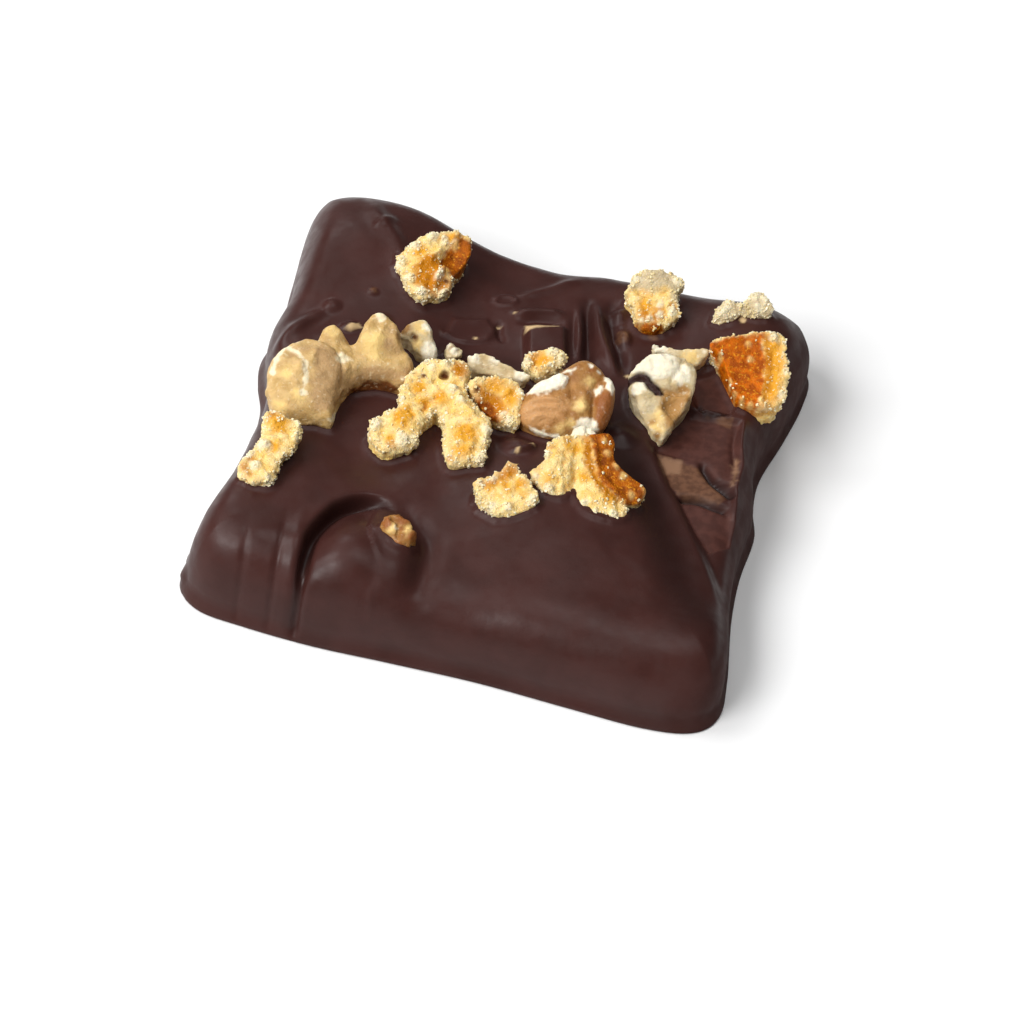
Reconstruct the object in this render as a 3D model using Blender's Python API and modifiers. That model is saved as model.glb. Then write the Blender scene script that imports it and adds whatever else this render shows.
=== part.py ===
"""Walnut toffee: a hand-dipped square of toffee, coated all over in dark chocolate, with walnut pieces and
sugared candied orange peel set in the top while the coating was still soft.

Metres, +Z up. X runs to the right along the front edge and Y runs away from the viewer. The origin is the
middle of the flat underside.
"""

from math import cos, pi, radians, sin

import bmesh
import bpy
import numpy as np
from mathutils import Euler, Matrix, Vector

MM = 0.001

# Driving dimensions of the square, in millimetres.
HALF_SIDE = 32.0
TOP_HEIGHT = 10.0
LIP_HEIGHT = 1.6
FOOT_INSET = 0.5
EDGE_ROLL = 6.0
ROLL_SHARE = 0.26
GRID_CELLS = 54

# Driving dimensions of the toppings, in millimetres.
TOPPING_GAP = 0.42
REMESH_VOXEL = 0.42
CRAG_SIZE = 2.4
CRAG_DEPTH_NUT = 0.9
CRAG_DEPTH_PEEL = 0.8
FACES_KEPT = 0.085

# Colours, as linear red, green and blue.
CHOCOLATE_COLOUR = (0.050, 0.020, 0.018)
WALNUT_COLOUR = (0.74, 0.56, 0.30)
BROWN_WALNUT_COLOUR = (0.45, 0.20, 0.07)
PEEL_COLOUR = (0.80, 0.55, 0.20)
RIND_COLOUR = (0.62, 0.14, 0.01)

# The square's rim seen from above, anticlockwise from the middle of the right side.
RIM_POINTS = [
    (30.2, 0.0), (29.5, 4.5), (30.9, 10.0), (32.3, 17.0), (33.0, 24.0), (32.2, 29.4), (28.2, 32.7),
    (19.5, 32.6), (12.0, 32.2), (5.0, 31.6), (-1.0, 30.8), (-7.0, 31.2), (-13.0, 32.6), (-19.0, 34.3),
    (-24.4, 35.2), (-29.2, 33.9), (-31.8, 30.0), (-31.6, 23.0), (-31.0, 15.0), (-31.9, 9.0), (-31.5, 4.8),
    (-30.1, 0.0), (-29.1, -6.0), (-29.2, -13.0), (-29.9, -19.0), (-31.1, -25.0), (-31.0, -29.3),
    (-28.2, -31.9), (-23.0, -32.6), (-15.0, -32.9), (-6.0, -32.5), (4.0, -32.2), (14.0, -32.6),
    (23.0, -32.9), (28.6, -31.8), (31.2, -28.6), (31.6, -23.0), (31.0, -14.0), (30.7, -7.0),
]


# ---------------------------------------------------------------------------------------------------------
# Shapes of the poured surface, as heights over the plan. All take and give millimetres.


def smooth_step(share):
    """A ramp from 0 to 1 with soft ends."""
    share = np.clip(share, 0.0, 1.0)
    return share * share * (3.0 - 2.0 * share)


def spline(points, steps, closed=False):
    """Points along a smooth curve that passes through the given ones."""
    points = np.array(points, dtype=float)
    if closed:
        points = np.vstack([points[-1], points, points[:2]])
    else:
        points = np.vstack([2 * points[0] - points[1], points, 2 * points[-1] - points[-2]])
    ramp = np.linspace(0.0, 1.0, steps, endpoint=False)[:, None]
    curve = []
    for before, start, end, after in zip(points, points[1:], points[2:], points[3:]):
        bend = 2 * before - 5 * start + 4 * end - after
        twist = 3 * start - before - 3 * end + after
        curve.append(0.5 * (2 * start + (end - before) * ramp + bend * ramp**2 + twist * ramp**3))
    if not closed:
        curve.append(points[-2][None, :])
    return np.vstack(curve)


def from_path(x, y, path):
    """Distance from a curve, positive on its right-hand side, and the share of its length passed."""
    line = spline(path, 6)
    steps = np.hypot(*np.diff(line, axis=0).T)
    total = steps.sum()
    nearest = np.full(x.shape, np.inf)
    side = np.ones(x.shape)
    passed = np.zeros(x.shape)
    done = 0.0
    for (x0, y0), (x1, y1), step in zip(line[:-1], line[1:], steps):
        dx, dy = x1 - x0, y1 - y0
        share = np.clip(((x - x0) * dx + (y - y0) * dy) / step**2, 0.0, 1.0)
        off_x, off_y = x - x0 - share * dx, y - y0 - share * dy
        distance = np.hypot(off_x, off_y)
        closer = distance < nearest
        nearest = np.where(closer, distance, nearest)
        side = np.where(closer, np.where(dy * off_x - dx * off_y >= 0, 1.0, -1.0), side)
        passed = np.where(closer, (done + share * step) / total, passed)
        done += step
    return nearest * side, passed


def mound(x, y, at, radii, height, turn=0.0):
    """A soft rise, or a hollow if the height is negative."""
    angle = radians(turn)
    along = (x - at[0]) * cos(angle) + (y - at[1]) * sin(angle)
    across = (y - at[1]) * cos(angle) - (x - at[0]) * sin(angle)
    reach = np.clip((along / radii[0]) ** 2 + (across / radii[1]) ** 2, 0.0, 1.0)
    return height * (1.0 - reach) ** 2


def fold(x, y, path, width, height):
    """A ridge along a curve that fades at both ends, or a crease if the height is negative."""
    distance, passed = from_path(x, y, path)
    fade = smooth_step(np.minimum(passed, 1.0 - passed) / 0.3)
    return height * np.exp(-((distance / width) ** 2)) * fade


def scarp(x, y, path, drop, width, reach):
    """A step down to the right of a curve. The ground rises again over the reach."""
    distance, passed = from_path(x, y, path)
    fade = smooth_step(np.minimum(passed, 1.0 - passed) / 0.3)
    fallen = smooth_step(distance / width + 0.5) * np.exp(-np.maximum(distance, 0.0) / reach)
    return -drop * fallen * fade


def shave(z, x, y, at, radii, height, slope):
    """Cuts what stands above a tilted plane, as where the coating broke away in a flat chip."""
    plane = height + slope[0] * (x - at[0]) + slope[1] * (y - at[1])
    reach = ((x - at[0]) / radii[0]) ** 2 + ((y - at[1]) / radii[1]) ** 2
    return z - np.maximum(z - plane, 0.0) * smooth_step((1.0 - reach) * 2.5)


def broad_form(x, y):
    """The slack, uneven top that soft chocolate leaves over the toffee."""
    z = np.full(x.shape, TOP_HEIGHT)
    z += mound(x, y, (-23.0, 23.0), (17.0, 16.0), 3.1, 35.0)
    z += mound(x, y, (25.0, 24.0), (13.0, 13.0), 1.4)
    z += mound(x, y, (-24.0, -24.0), (15.0, 17.0), 0.9)
    z += mound(x, y, (-10.5, -27.0), (10.5, 13.0), 1.0)
    z += mound(x, y, (10.0, -15.0), (17.0, 15.0), 1.2, -40.0)
    z += mound(x, y, (-2.0, 27.0), (14.0, 10.0), -0.6)
    z += mound(x, y, (-7.0, 13.0), (9.0, 6.0), -0.7)
    z += mound(x, y, (-14.5, -12.0), (6.0, 6.0), -0.6)
    z += mound(x, y, (0.0, -30.0), (8.0, 9.0), -0.8)
    return z


def drapes(x, y):
    """Folds where the coating ran down beside a buried nut, behind the middle."""
    z = fold(x, y, [(1.2, 19.5), (2.8, 14.5), (4.2, 9.5)], 0.8, 0.55)
    z += fold(x, y, [(2.2, 23.5), (4.6, 17.0), (7.8, 11.0)], 0.9, 0.75)
    z += fold(x, y, [(5.6, 25.0), (7.0, 16.5), (10.4, 9.5)], 0.8, 0.6)
    z += fold(x, y, [(7.0, 24.5), (9.0, 18.5), (10.6, 14.0)], 1.0, 0.6)
    return z


def coated_bits(x, y):
    """Crumbs of nut and peel that the coating covers."""
    z = mound(x, y, (-0.3, 14.6), (4.4, 3.6), 1.5, 12.0)
    z += mound(x, y, (10.6, 13.6), (1.8, 3.2), 1.0, 15.0)
    z += mound(x, y, (8.6, 19.8), (1.8, 1.6), 0.9)
    z += mound(x, y, (1.0, -5.2), (3.2, 2.2), 0.9)
    z += mound(x, y, (-8.4, -23.6), (2.8, 2.5), 1.2)
    z += mound(x, y, (-24.6, 9.6), (2.0, 1.6), 0.7)
    z += mound(x, y, (-30.0, 5.0), (4.0, 5.0), 0.9)
    z += mound(x, y, (-18.4, 10.4), (1.7, 1.5), 0.7)
    z += mound(x, y, (12.6, 1.6), (3.0, 3.0), 0.7)
    return z


def front_lobes(x, y):
    """Two lobes of coating that slid to the near left edge, one lapped over the other."""
    lapped_edge = [(-18.2, -32.5), (-18.0, -26.5), (-16.2, -20.6), (-13.1, -16.8), (-9.0, -15.4)]
    far_bank = [(-10.0, -16.6), (-7.0, -19.2), (-5.0, -24.0), (-5.6, -30.0)]
    z = scarp(x, y, lapped_edge, 1.7, 1.5, 3.6)
    z += scarp(x, y, far_bank, 0.8, 1.8, 5.0)
    z += fold(x, y, [(-22.4, -22.0), (-22.0, -26.0), (-21.6, -31.0)], 0.8, -0.5)
    z += fold(x, y, [(-26.0, -24.0), (-25.0, -27.0), (-24.6, -30.0)], 0.8, -0.3)
    return z


def chipped_side(z, x, y):
    """The right-hand side, where the coating broke away in flat chips below a long fold."""
    long_fold = [(30.7, -22.0), (26.4, -14.0), (22.3, -6.7), (17.6, 0.0), (14.5, 6.0)]
    z = z + scarp(x, y, long_fold, 0.9, 2.8, 9.0)
    z = shave(z, x, y, (21.5, 11.0), (7.0, 8.0), 9.6, (0.03, -0.05))
    z = shave(z, x, y, (21.6, 3.4), (7.5, 6.0), 9.0, (-0.02, 0.06))
    z = shave(z, x, y, (22.0, -2.6), (5.5, 4.2), 8.4, (0.10, 0.10))
    z = shave(z, x, y, (25.6, -8.4), (4.6, 5.0), 7.6, (0.06, 0.16))
    z = z + fold(x, y, [(25.3, 10.5), (26.4, 4.5), (27.6, -0.5), (28.0, -5.0)], 1.0, 1.0)
    return z


def rim_folds(x, y):
    """Low ridges that run round behind the rim and down from the raised corner."""
    z = fold(x, y, [(-31.0, 0.4), (-29.0, 3.2), (-26.0, 5.0), (-22.0, 6.6)], 1.0, 0.7)
    z += fold(x, y, [(-16.5, 30.0), (-20.5, 27.5), (-23.4, 23.6), (-21.5, 19.0)], 1.2, 0.5)
    z += fold(x, y, [(-9.6, 17.0), (-5.0, 21.5), (0.0, 24.4), (6.0, 27.5)], 1.1, 0.6)
    z += fold(x, y, [(-12.5, 15.6), (-10.6, 12.2), (-7.0, 10.9), (-4.0, 12.6)], 0.9, 0.5)
    return z


def top_surface(x, y):
    """Height of the coated top over the plan."""
    z = broad_form(x, y) + drapes(x, y) + coated_bits(x, y) + front_lobes(x, y) + rim_folds(x, y)
    return chipped_side(z, x, y)


def rim_radius(angle):
    """Distance from the middle to the rim, in a direction seen from above."""
    rim = spline(RIM_POINTS, 12, closed=True)
    directions = np.arctan2(rim[:, 1], rim[:, 0])
    order = np.argsort(directions)
    return np.interp(angle, directions[order], np.hypot(*rim.T)[order], period=2 * pi)


def slab_points(u, v):
    """Carries a flat grid that runs from -1 to 1 onto the coated top and down its rolled edge."""
    ring = np.maximum(np.maximum(np.abs(u), np.abs(v)), 1e-9)
    angle = np.arctan2(v, u)
    flat_share = 1.0 - ROLL_SHARE
    turned = np.clip((ring - flat_share) / ROLL_SHARE, 0.0, 1.0) * pi / 2
    inner = ring / flat_share * (1.0 - EDGE_ROLL / HALF_SIDE)
    outer = 1.0 - EDGE_ROLL / HALF_SIDE * (1.0 - np.sin(turned))
    reach = np.where(ring < flat_share, inner, outer)
    square = HALF_SIDE * reach / ring
    rounded = rim_radius(angle) / (HALF_SIDE / np.maximum(np.abs(np.cos(angle)), np.abs(np.sin(angle))))
    scale = square * (1.0 + (rounded - 1.0) * reach**4)
    x, y = u * scale, v * scale
    z = LIP_HEIGHT + (top_surface(x, y) - LIP_HEIGHT) * np.cos(turned)
    return x, y, z


# ---------------------------------------------------------------------------------------------------------
# Blender helpers


def clear_scene():
    for old in list(bpy.data.objects):
        bpy.data.objects.remove(old, do_unlink=True)


def collection(name):
    made = bpy.data.collections.new(name)
    bpy.context.scene.collection.children.link(made)
    return made


def material(name, colour, roughness):
    made = bpy.data.materials.new(name)
    made.use_nodes = True
    made.diffuse_color = (*colour, 1.0)
    shader = made.node_tree.nodes["Principled BSDF"]
    shader.inputs["Base Color"].default_value = (*colour, 1.0)
    shader.inputs["Roughness"].default_value = roughness
    shader.inputs["Metallic"].default_value = 0.0
    return made


def add_object(name, bm, owner, finish):
    mesh = bpy.data.meshes.new(name)
    bm.to_mesh(mesh)
    bm.free()
    mesh.shade_smooth()
    made = bpy.data.objects.new(name, mesh)
    made.data.materials.append(finish)
    owner.objects.link(made)
    return made


# ---------------------------------------------------------------------------------------------------------
# The coated square


def coated_square():
    """A flat grid shaped into the top and its rolled edge, closed below by a flat base."""
    bm = bmesh.new()
    bmesh.ops.create_grid(bm, x_segments=GRID_CELLS, y_segments=GRID_CELLS, size=1.0)
    flat = np.array([vert.co[:] for vert in bm.verts])
    for vert, *place in zip(bm.verts, *slab_points(flat[:, 0], flat[:, 1])):
        vert.co = Vector(place) * MM
    rim = [edge for edge in bm.edges if edge.is_boundary]
    skirt = bmesh.ops.extrude_edge_only(bm, edges=rim)["geom"]
    for vert in (part for part in skirt if isinstance(part, bmesh.types.BMVert)):
        distance = vert.co.xy.length
        vert.co.xy *= (distance - FOOT_INSET * MM) / distance
        vert.co.z = 0.0
    bmesh.ops.contextual_create(bm, geom=[part for part in skirt if isinstance(part, bmesh.types.BMEdge)])
    bmesh.ops.recalc_face_normals(bm, faces=bm.faces)
    return bm


# ---------------------------------------------------------------------------------------------------------
# Toppings. Each is a few lumps, with centres and half sizes in millimetres, in the square's own frame.


def put(bm, lump, at, half, turn, lean):
    """Stretches a unit shape to its half sizes, turns and leans it by degrees, and moves it into place."""
    turned = Euler((radians(lean[0]), radians(lean[1]), radians(turn))).to_matrix().to_4x4()
    stretched = Matrix.Diagonal((*(Vector(half) * MM), 1.0))
    place = Matrix.Translation(Vector(at) * MM) @ turned @ stretched
    bmesh.ops.transform(bm, matrix=place, verts=lump["verts"])


def ball(bm, at, half, turn=0.0, lean=(0.0, 0.0)):
    put(bm, bmesh.ops.create_icosphere(bm, subdivisions=3, radius=1.0), at, half, turn, lean)


def block(bm, at, half, turn=0.0, lean=(0.0, 0.0)):
    put(bm, bmesh.ops.create_cube(bm, size=2.0), at, half, turn, lean)


def walnut_bone(bm):
    """Long walnut piece at the left: a round head, an arm and two knobs."""
    ball(bm, (-24.6, -4.7, 13.2), (4.6, 4.3, 3.9))
    ball(bm, (-25.0, -7.4, 11.8), (3.0, 2.4, 2.0))
    ball(bm, (-21.6, -7.4, 12.0), (2.4, 2.2, 2.0))
    ball(bm, (-22.2, 0.6, 13.2), (2.2, 2.1, 2.1))
    ball(bm, (-18.2, -2.2, 12.8), (4.6, 2.1, 2.0), turn=20)
    ball(bm, (-15.2, 0.5, 12.6), (1.9, 2.1, 1.8))
    ball(bm, (-17.3, 2.0, 13.2), (2.6, 2.2, 2.4))
    ball(bm, (-18.2, 3.9, 14.0), (1.6, 1.5, 1.9))


def walnut_chip(bm):
    """Pale chip that leans on the bone-shaped piece."""
    block(bm, (-13.0, 6.8, 12.2), (1.7, 2.3, 1.1), turn=-14, lean=(24, 10))


def peel_left(bm):
    """Crusted strip of peel along the left edge."""
    block(bm, (-25.0, -13.2, 11.9), (2.2, 2.2, 1.7), turn=12)
    block(bm, (-25.6, -16.8, 11.8), (2.1, 2.4, 1.6), turn=-12)
    block(bm, (-26.2, -20.2, 11.4), (2.0, 2.0, 1.4), turn=8)


def peel_wishbone(bm):
    """Forked piece of peel in the middle: a bar with two legs."""
    block(bm, (-8.6, 1.0, 12.6), (3.0, 2.0, 1.9), turn=6)
    block(bm, (-11.4, -3.6, 12.5), (1.9, 3.6, 1.8), turn=-6)
    block(bm, (-12.8, -8.8, 12.0), (2.8, 2.6, 1.7), turn=24)
    block(bm, (-5.6, -4.4, 12.5), (2.2, 4.2, 2.0), turn=14)
    block(bm, (-4.3, -8.6, 12.2), (2.2, 2.2, 1.9), turn=4)


def walnut_flake(bm):
    """Thin grey-white flake behind the middle."""
    block(bm, (-3.6, 5.7, 11.5), (3.2, 1.2, 1.3), turn=-9, lean=(20, 0))


def peel_wedge(bm):
    """Three-cornered piece of peel beside the wishbone."""
    block(bm, (-2.1, 1.6, 12.4), (2.0, 1.5, 1.9), turn=4)
    block(bm, (-1.0, -1.6, 12.2), (1.2, 2.2, 1.8), turn=8)


def peel_nub(bm):
    """Small yellow piece of peel behind the brown walnut."""
    block(bm, (2.0, 7.3, 12.0), (2.0, 1.6, 2.2), turn=10)


def walnut_brown(bm):
    """Big brown walnut lump with its skin on."""
    ball(bm, (5.6, 1.4, 12.8), (4.2, 3.6, 3.2))
    ball(bm, (3.3, -0.6, 12.6), (2.3, 2.8, 2.6))
    ball(bm, (8.3, 3.2, 12.9), (2.7, 2.9, 2.7))
    ball(bm, (8.7, -0.1, 12.4), (2.2, 2.2, 2.3))
    ball(bm, (6.6, 4.4, 13.5), (2.3, 1.6, 2.1))


def walnut_arrow(bm):
    """Cream arrowhead of walnut with its point towards the front."""
    block(bm, (15.9, 9.8, 12.6), (3.4, 2.2, 1.8), turn=9, lean=(12, 0))
    block(bm, (16.2, 6.0, 12.3), (2.3, 2.6, 1.7), turn=4, lean=(8, 0))
    ball(bm, (16.7, 2.9, 11.7), (1.5, 2.3, 1.5), turn=8)


def walnut_sliver(bm):
    """Thin slice of walnut behind the arrowhead."""
    block(bm, (16.9, 14.3, 11.6), (3.1, 1.0, 1.7), turn=3, lean=(12, 0))


def peel_corner(bm):
    """Sugared peel near the raised corner, its rind to the right."""
    block(bm, (-15.2, 17.9, 13.6), (2.1, 3.3, 1.8), turn=-28, lean=(10, -8))
    block(bm, (-12.6, 19.8, 13.8), (1.5, 2.9, 2.0), turn=-24, lean=(10, 14))


def peel_back(bm):
    """Peel at the far edge, with a paler square end."""
    block(bm, (12.0, 24.8, 12.0), (2.9, 2.2, 1.8), turn=-6, lean=(12, 0))
    block(bm, (12.6, 21.4, 12.0), (2.2, 2.6, 1.8), turn=-14, lean=(14, 0))


def sugared_crumbs(bm):
    """Low cluster of sugared crumbs at the far right."""
    ball(bm, (21.2, 25.0, 11.4), (1.8, 1.5, 1.3))
    ball(bm, (23.2, 26.3, 12.1), (1.9, 1.6, 1.7))
    ball(bm, (25.2, 26.4, 11.5), (1.8, 1.4, 1.3))


def peel_right(bm):
    """Biggest square of peel, rind up, leaning at the right-hand edge."""
    block(bm, (25.6, 13.6, 12.4), (3.5, 4.6, 1.9), turn=20, lean=(14, 6))


def peel_front(bm):
    """Lobed piece of peel in front of the brown walnut, its rind to the right."""
    block(bm, (9.2, -8.0, 12.8), (3.0, 3.9, 2.1), turn=14)
    block(bm, (13.0, -8.8, 12.8), (1.9, 4.6, 2.1), turn=30)
    ball(bm, (6.4, -9.8, 12.2), (2.0, 2.2, 1.9))
    ball(bm, (11.6, -12.8, 12.0), (3.0, 2.4, 1.9))
    block(bm, (9.2, -4.9, 12.6), (2.6, 1.2, 1.8), turn=4)


def peel_middle(bm):
    """Square of pale peel in front of the middle."""
    block(bm, (1.6, -14.3, 12.4), (2.6, 2.7, 1.8), turn=14, lean=(6, 0))


# ---------------------------------------------------------------------------------------------------------
# Assembly


def crag_texture():
    """Noise that the toppings' broken faces follow."""
    made = bpy.data.textures.new("crags", "CLOUDS")
    made.noise_scale = CRAG_SIZE * MM
    made.noise_depth = 1
    return made


def finish_topping(piece, crag_depth, crags, bed):
    """Joins a topping's lumps, breaks up its surface and cuts its underside to sit over the coating."""
    remesh = piece.modifiers.new("join", "REMESH")
    remesh.mode = "VOXEL"
    remesh.voxel_size = REMESH_VOXEL * MM
    relax = piece.modifiers.new("soften", "SMOOTH")
    relax.factor = 0.5
    relax.iterations = 3
    rough = piece.modifiers.new("crags", "DISPLACE")
    rough.texture = crags
    rough.texture_coords = "LOCAL"
    rough.strength = crag_depth * MM
    thin = piece.modifiers.new("facets", "DECIMATE")
    thin.ratio = FACES_KEPT
    cut = piece.modifiers.new("seat", "BOOLEAN")
    cut.operation = "DIFFERENCE"
    cut.solver = "EXACT"
    cut.object = bed


def build():
    clear_scene()
    chocolate = material("dark_chocolate", CHOCOLATE_COLOUR, 0.42)
    walnut = material("walnut", WALNUT_COLOUR, 0.6)
    brown_walnut = material("walnut_skin", BROWN_WALNUT_COLOUR, 0.55)
    peel = material("candied_peel", PEEL_COLOUR, 0.55)
    rind = material("orange_rind", RIND_COLOUR, 0.45)
    parts = collection("walnut_toffee")
    cutters = collection("cutters")

    square = add_object("coated_square", coated_square(), parts, chocolate)
    bed = bpy.data.objects.new("bed_cutter", square.data)
    bed.location.z = TOPPING_GAP * MM
    bed.hide_render = True
    bed.display_type = "WIRE"
    cutters.objects.link(bed)

    crags = crag_texture()
    nuts = {
        "walnut_bone": (walnut_bone, walnut),
        "walnut_chip": (walnut_chip, walnut),
        "walnut_flake": (walnut_flake, walnut),
        "walnut_brown": (walnut_brown, brown_walnut),
        "walnut_arrow": (walnut_arrow, walnut),
        "walnut_sliver": (walnut_sliver, walnut),
    }
    peels = {
        "peel_left": (peel_left, peel),
        "peel_wishbone": (peel_wishbone, peel),
        "peel_wedge": (peel_wedge, rind),
        "peel_nub": (peel_nub, peel),
        "peel_corner": (peel_corner, peel),
        "peel_back": (peel_back, peel),
        "sugared_crumbs": (sugared_crumbs, peel),
        "peel_right": (peel_right, rind),
        "peel_front": (peel_front, peel),
        "peel_middle": (peel_middle, peel),
    }
    for toppings, depth in ((nuts, CRAG_DEPTH_NUT), (peels, CRAG_DEPTH_PEEL)):
        for name, (shape, finish) in toppings.items():
            bm = bmesh.new()
            shape(bm)
            finish_topping(add_object(name, bm, parts, finish), depth, crags, bed)


build()
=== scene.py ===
# %% [markdown]
# # Walnut toffee
# A hand-dipped square of toffee. Dark chocolate covers it, and pieces of walnut and sugared candied orange
# peel were pressed into the top while the coating was soft. This lesson dresses the plain CAD solids. It works
# in millimetres, because that is how the sweet was measured, and changes to metres where a mesh is made.

# %% Load the CAD frame
from math import cos, pi, radians, sin

import bmesh
import bpy
import numpy as np
from mathutils import Matrix, Vector
from mathutils.kdtree import KDTree


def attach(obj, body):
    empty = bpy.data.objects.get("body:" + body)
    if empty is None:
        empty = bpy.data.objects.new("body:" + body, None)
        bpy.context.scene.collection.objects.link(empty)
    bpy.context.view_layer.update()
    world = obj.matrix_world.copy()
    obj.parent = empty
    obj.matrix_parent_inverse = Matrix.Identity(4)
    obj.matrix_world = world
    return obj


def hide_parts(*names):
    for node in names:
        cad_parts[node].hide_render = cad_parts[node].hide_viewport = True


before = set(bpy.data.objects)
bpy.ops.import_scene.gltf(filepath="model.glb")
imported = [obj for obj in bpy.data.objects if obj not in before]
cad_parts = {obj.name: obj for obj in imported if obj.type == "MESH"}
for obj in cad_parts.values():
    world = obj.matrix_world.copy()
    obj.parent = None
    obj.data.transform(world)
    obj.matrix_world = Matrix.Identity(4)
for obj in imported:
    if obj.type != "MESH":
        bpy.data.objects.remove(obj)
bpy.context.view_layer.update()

MM = 0.001
PER_MM = 1000.0
print("CAD nodes to dress:", len(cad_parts))

# %% [markdown]
# ## Soft ramps and smooth curves
# Poured chocolate has no hard edges, so every form below is built from two ideas: a ramp with soft ends, and
# a curve that passes through a few given points. A curve or outline is kept as a plain list of numbers,
# x and y in turn, in millimetres.

# %% Ramp and curve
def smooth_step(share):
    share = np.clip(share, 0.0, 1.0)
    return share * share * (3.0 - 2.0 * share)


def spline(points, steps, closed=False):
    points = np.reshape(points, (-1, 2)).astype(float)
    if closed:
        points = np.vstack([points[-1], points, points[:2]])
    else:
        points = np.vstack([2 * points[0] - points[1], points, 2 * points[-1] - points[-2]])
    ramp = np.linspace(0.0, 1.0, steps, endpoint=False)[:, None]
    curve = []
    for before, start, end, after in zip(points, points[1:], points[2:], points[3:]):
        bend = 2 * before - 5 * start + 4 * end - after
        twist = 3 * start - before - 3 * end + after
        curve.append(0.5 * (2 * start + (end - before) * ramp + bend * ramp**2 + twist * ramp**3))
    if not closed:
        curve.append(points[-2][None, :])
    return np.vstack(curve)


# %% Distance from a curve
def from_path(x, y, path):
    """Distance from a curve, positive on its right-hand side, and the share of its length passed."""
    line = spline(path, 6)
    steps = np.hypot(*np.diff(line, axis=0).T)
    nearest = np.full(x.shape, np.inf)
    side = np.ones(x.shape)
    passed = np.zeros(x.shape)
    done = 0.0
    for (x0, y0), (x1, y1), step in zip(line[:-1], line[1:], steps):
        dx, dy = x1 - x0, y1 - y0
        share = np.clip(((x - x0) * dx + (y - y0) * dy) / step**2, 0.0, 1.0)
        off_x, off_y = x - x0 - share * dx, y - y0 - share * dy
        distance = np.hypot(off_x, off_y)
        closer = distance < nearest
        nearest = np.where(closer, distance, nearest)
        side = np.where(closer, np.where(dy * off_x - dx * off_y >= 0, 1.0, -1.0), side)
        passed = np.where(closer, (done + share * step) / steps.sum(), passed)
        done += step
    return nearest * side, passed


# %% Distance from an outline
def from_outline(x, y, outline):
    """Distance from a closed outline, negative inside it."""
    nearest = np.full(x.shape, np.inf)
    inside = np.zeros(x.shape, dtype=bool)
    corners = np.reshape(outline, (-1, 2)).tolist()
    for (x0, y0), (x1, y1) in zip(corners, corners[1:] + corners[:1]):
        dx, dy = x1 - x0, y1 - y0
        share = np.clip(((x - x0) * dx + (y - y0) * dy) / (dx**2 + dy**2), 0.0, 1.0)
        nearest = np.minimum(nearest, np.hypot(x - x0 - share * dx, y - y0 - share * dy))
        if dy:
            inside ^= ((y0 > y) != (y1 > y)) & (x < x0 + (y - y0) * dx / dy)
    return np.where(inside, -nearest, nearest)


# %% [markdown]
# ## Uneven surfaces
# Nothing on a hand-made sweet is perfectly even. One kind of random swelling serves the chocolate, the nuts
# and the peel. It is a table of random numbers, blended smoothly in all three directions, so the same seed
# always gives the same swellings.

# %% Smooth random swelling
NOISE_TABLE = 32
NOISE_START = 100.0


def swelling(points, size, seed):
    """Smooth random values from -1 to 1 that change over the given size."""
    table = np.random.default_rng(seed).uniform(-1.0, 1.0, (NOISE_TABLE,) * 3)
    place = points / size + NOISE_START
    cell = np.floor(place).astype(int)
    share = smooth_step(place - cell)
    total = np.zeros(len(points))
    for corner in np.ndindex(2, 2, 2):
        weight = np.prod(np.where(corner, share, 1.0 - share), axis=1)
        i, j, k = ((cell + corner) % NOISE_TABLE).T
        total += weight * table[i, j, k]
    return total


# %% [markdown]
# ## Forms of the coating
# Five shapes are enough for the whole top: a mound, a fold (or a crease, if its height is negative), a scarp
# where one flow of chocolate lapped over another, a terrace over something square, and a facet where a flat
# chip broke away. Each works on whole arrays of places at once.

# %% Mound, fold and scarp
def mound(x, y, at, radii, height, turn=0.0):
    angle = radians(turn)
    along = (x - at[0]) * cos(angle) + (y - at[1]) * sin(angle)
    across = (y - at[1]) * cos(angle) - (x - at[0]) * sin(angle)
    reach = np.clip((along / radii[0]) ** 2 + (across / radii[1]) ** 2, 0.0, 1.0)
    return height * (1.0 - reach) ** 2


def fold(x, y, path, width, height, fade=0.3):
    distance, passed = from_path(x, y, path)
    ends = smooth_step(np.minimum(passed, 1.0 - passed) / fade)
    return height * np.exp(-((distance / width) ** 2)) * ends


def scarp(x, y, path, drop, width, reach, fade=0.3):
    distance, passed = from_path(x, y, path)
    ends = smooth_step(np.minimum(passed, 1.0 - passed) / fade)
    fallen = smooth_step(distance / width + 0.5) * np.exp(-np.maximum(distance, 0.0) / reach)
    return -drop * fallen * ends


# %% Terrace and facet
def terrace(x, y, outline, height, soft):
    return height * smooth_step(0.5 - from_outline(x, y, outline) / soft)


def facet(z, x, y, outline, at, height, slope, soft=0.5):
    """Replaces the surface inside an outline by a tilted plane."""
    plane = height + slope[0] * (x - at[0]) + slope[1] * (y - at[1])
    inside = smooth_step(0.5 - from_outline(x, y, outline) / soft)
    return z + (plane - z) * inside


# %% [markdown]
# ## The top of the square
# The coating slumped while it set: the far left corner stands proud, the middle of the far edge sagged, and
# two lobes slid to the near left edge. Each table lists forms in the order they are added: the shape, then the
# measures it takes. The large forms are the CAD model's own, and the fine ones are added here.

# %% Large forms
LARGE_FORMS = [
    (mound, (-23, 23), (17, 16), 3.1, 35),
    (mound, (25, 24), (13, 13), 1.4),
    (mound, (-24, -24), (15, 17), 0.9),
    (mound, (-10.5, -27), (10.5, 13), 1),
    (mound, (10, -15), (17, 15), 1.2, -40),
    (mound, (-2, 27), (14, 10), -0.6),
    (mound, (-7, 13), (9, 6), -0.7),
    (mound, (-14.5, -12), (6, 6), -0.6),
    (mound, (0, -30), (8, 9), -0.8),
]

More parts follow.
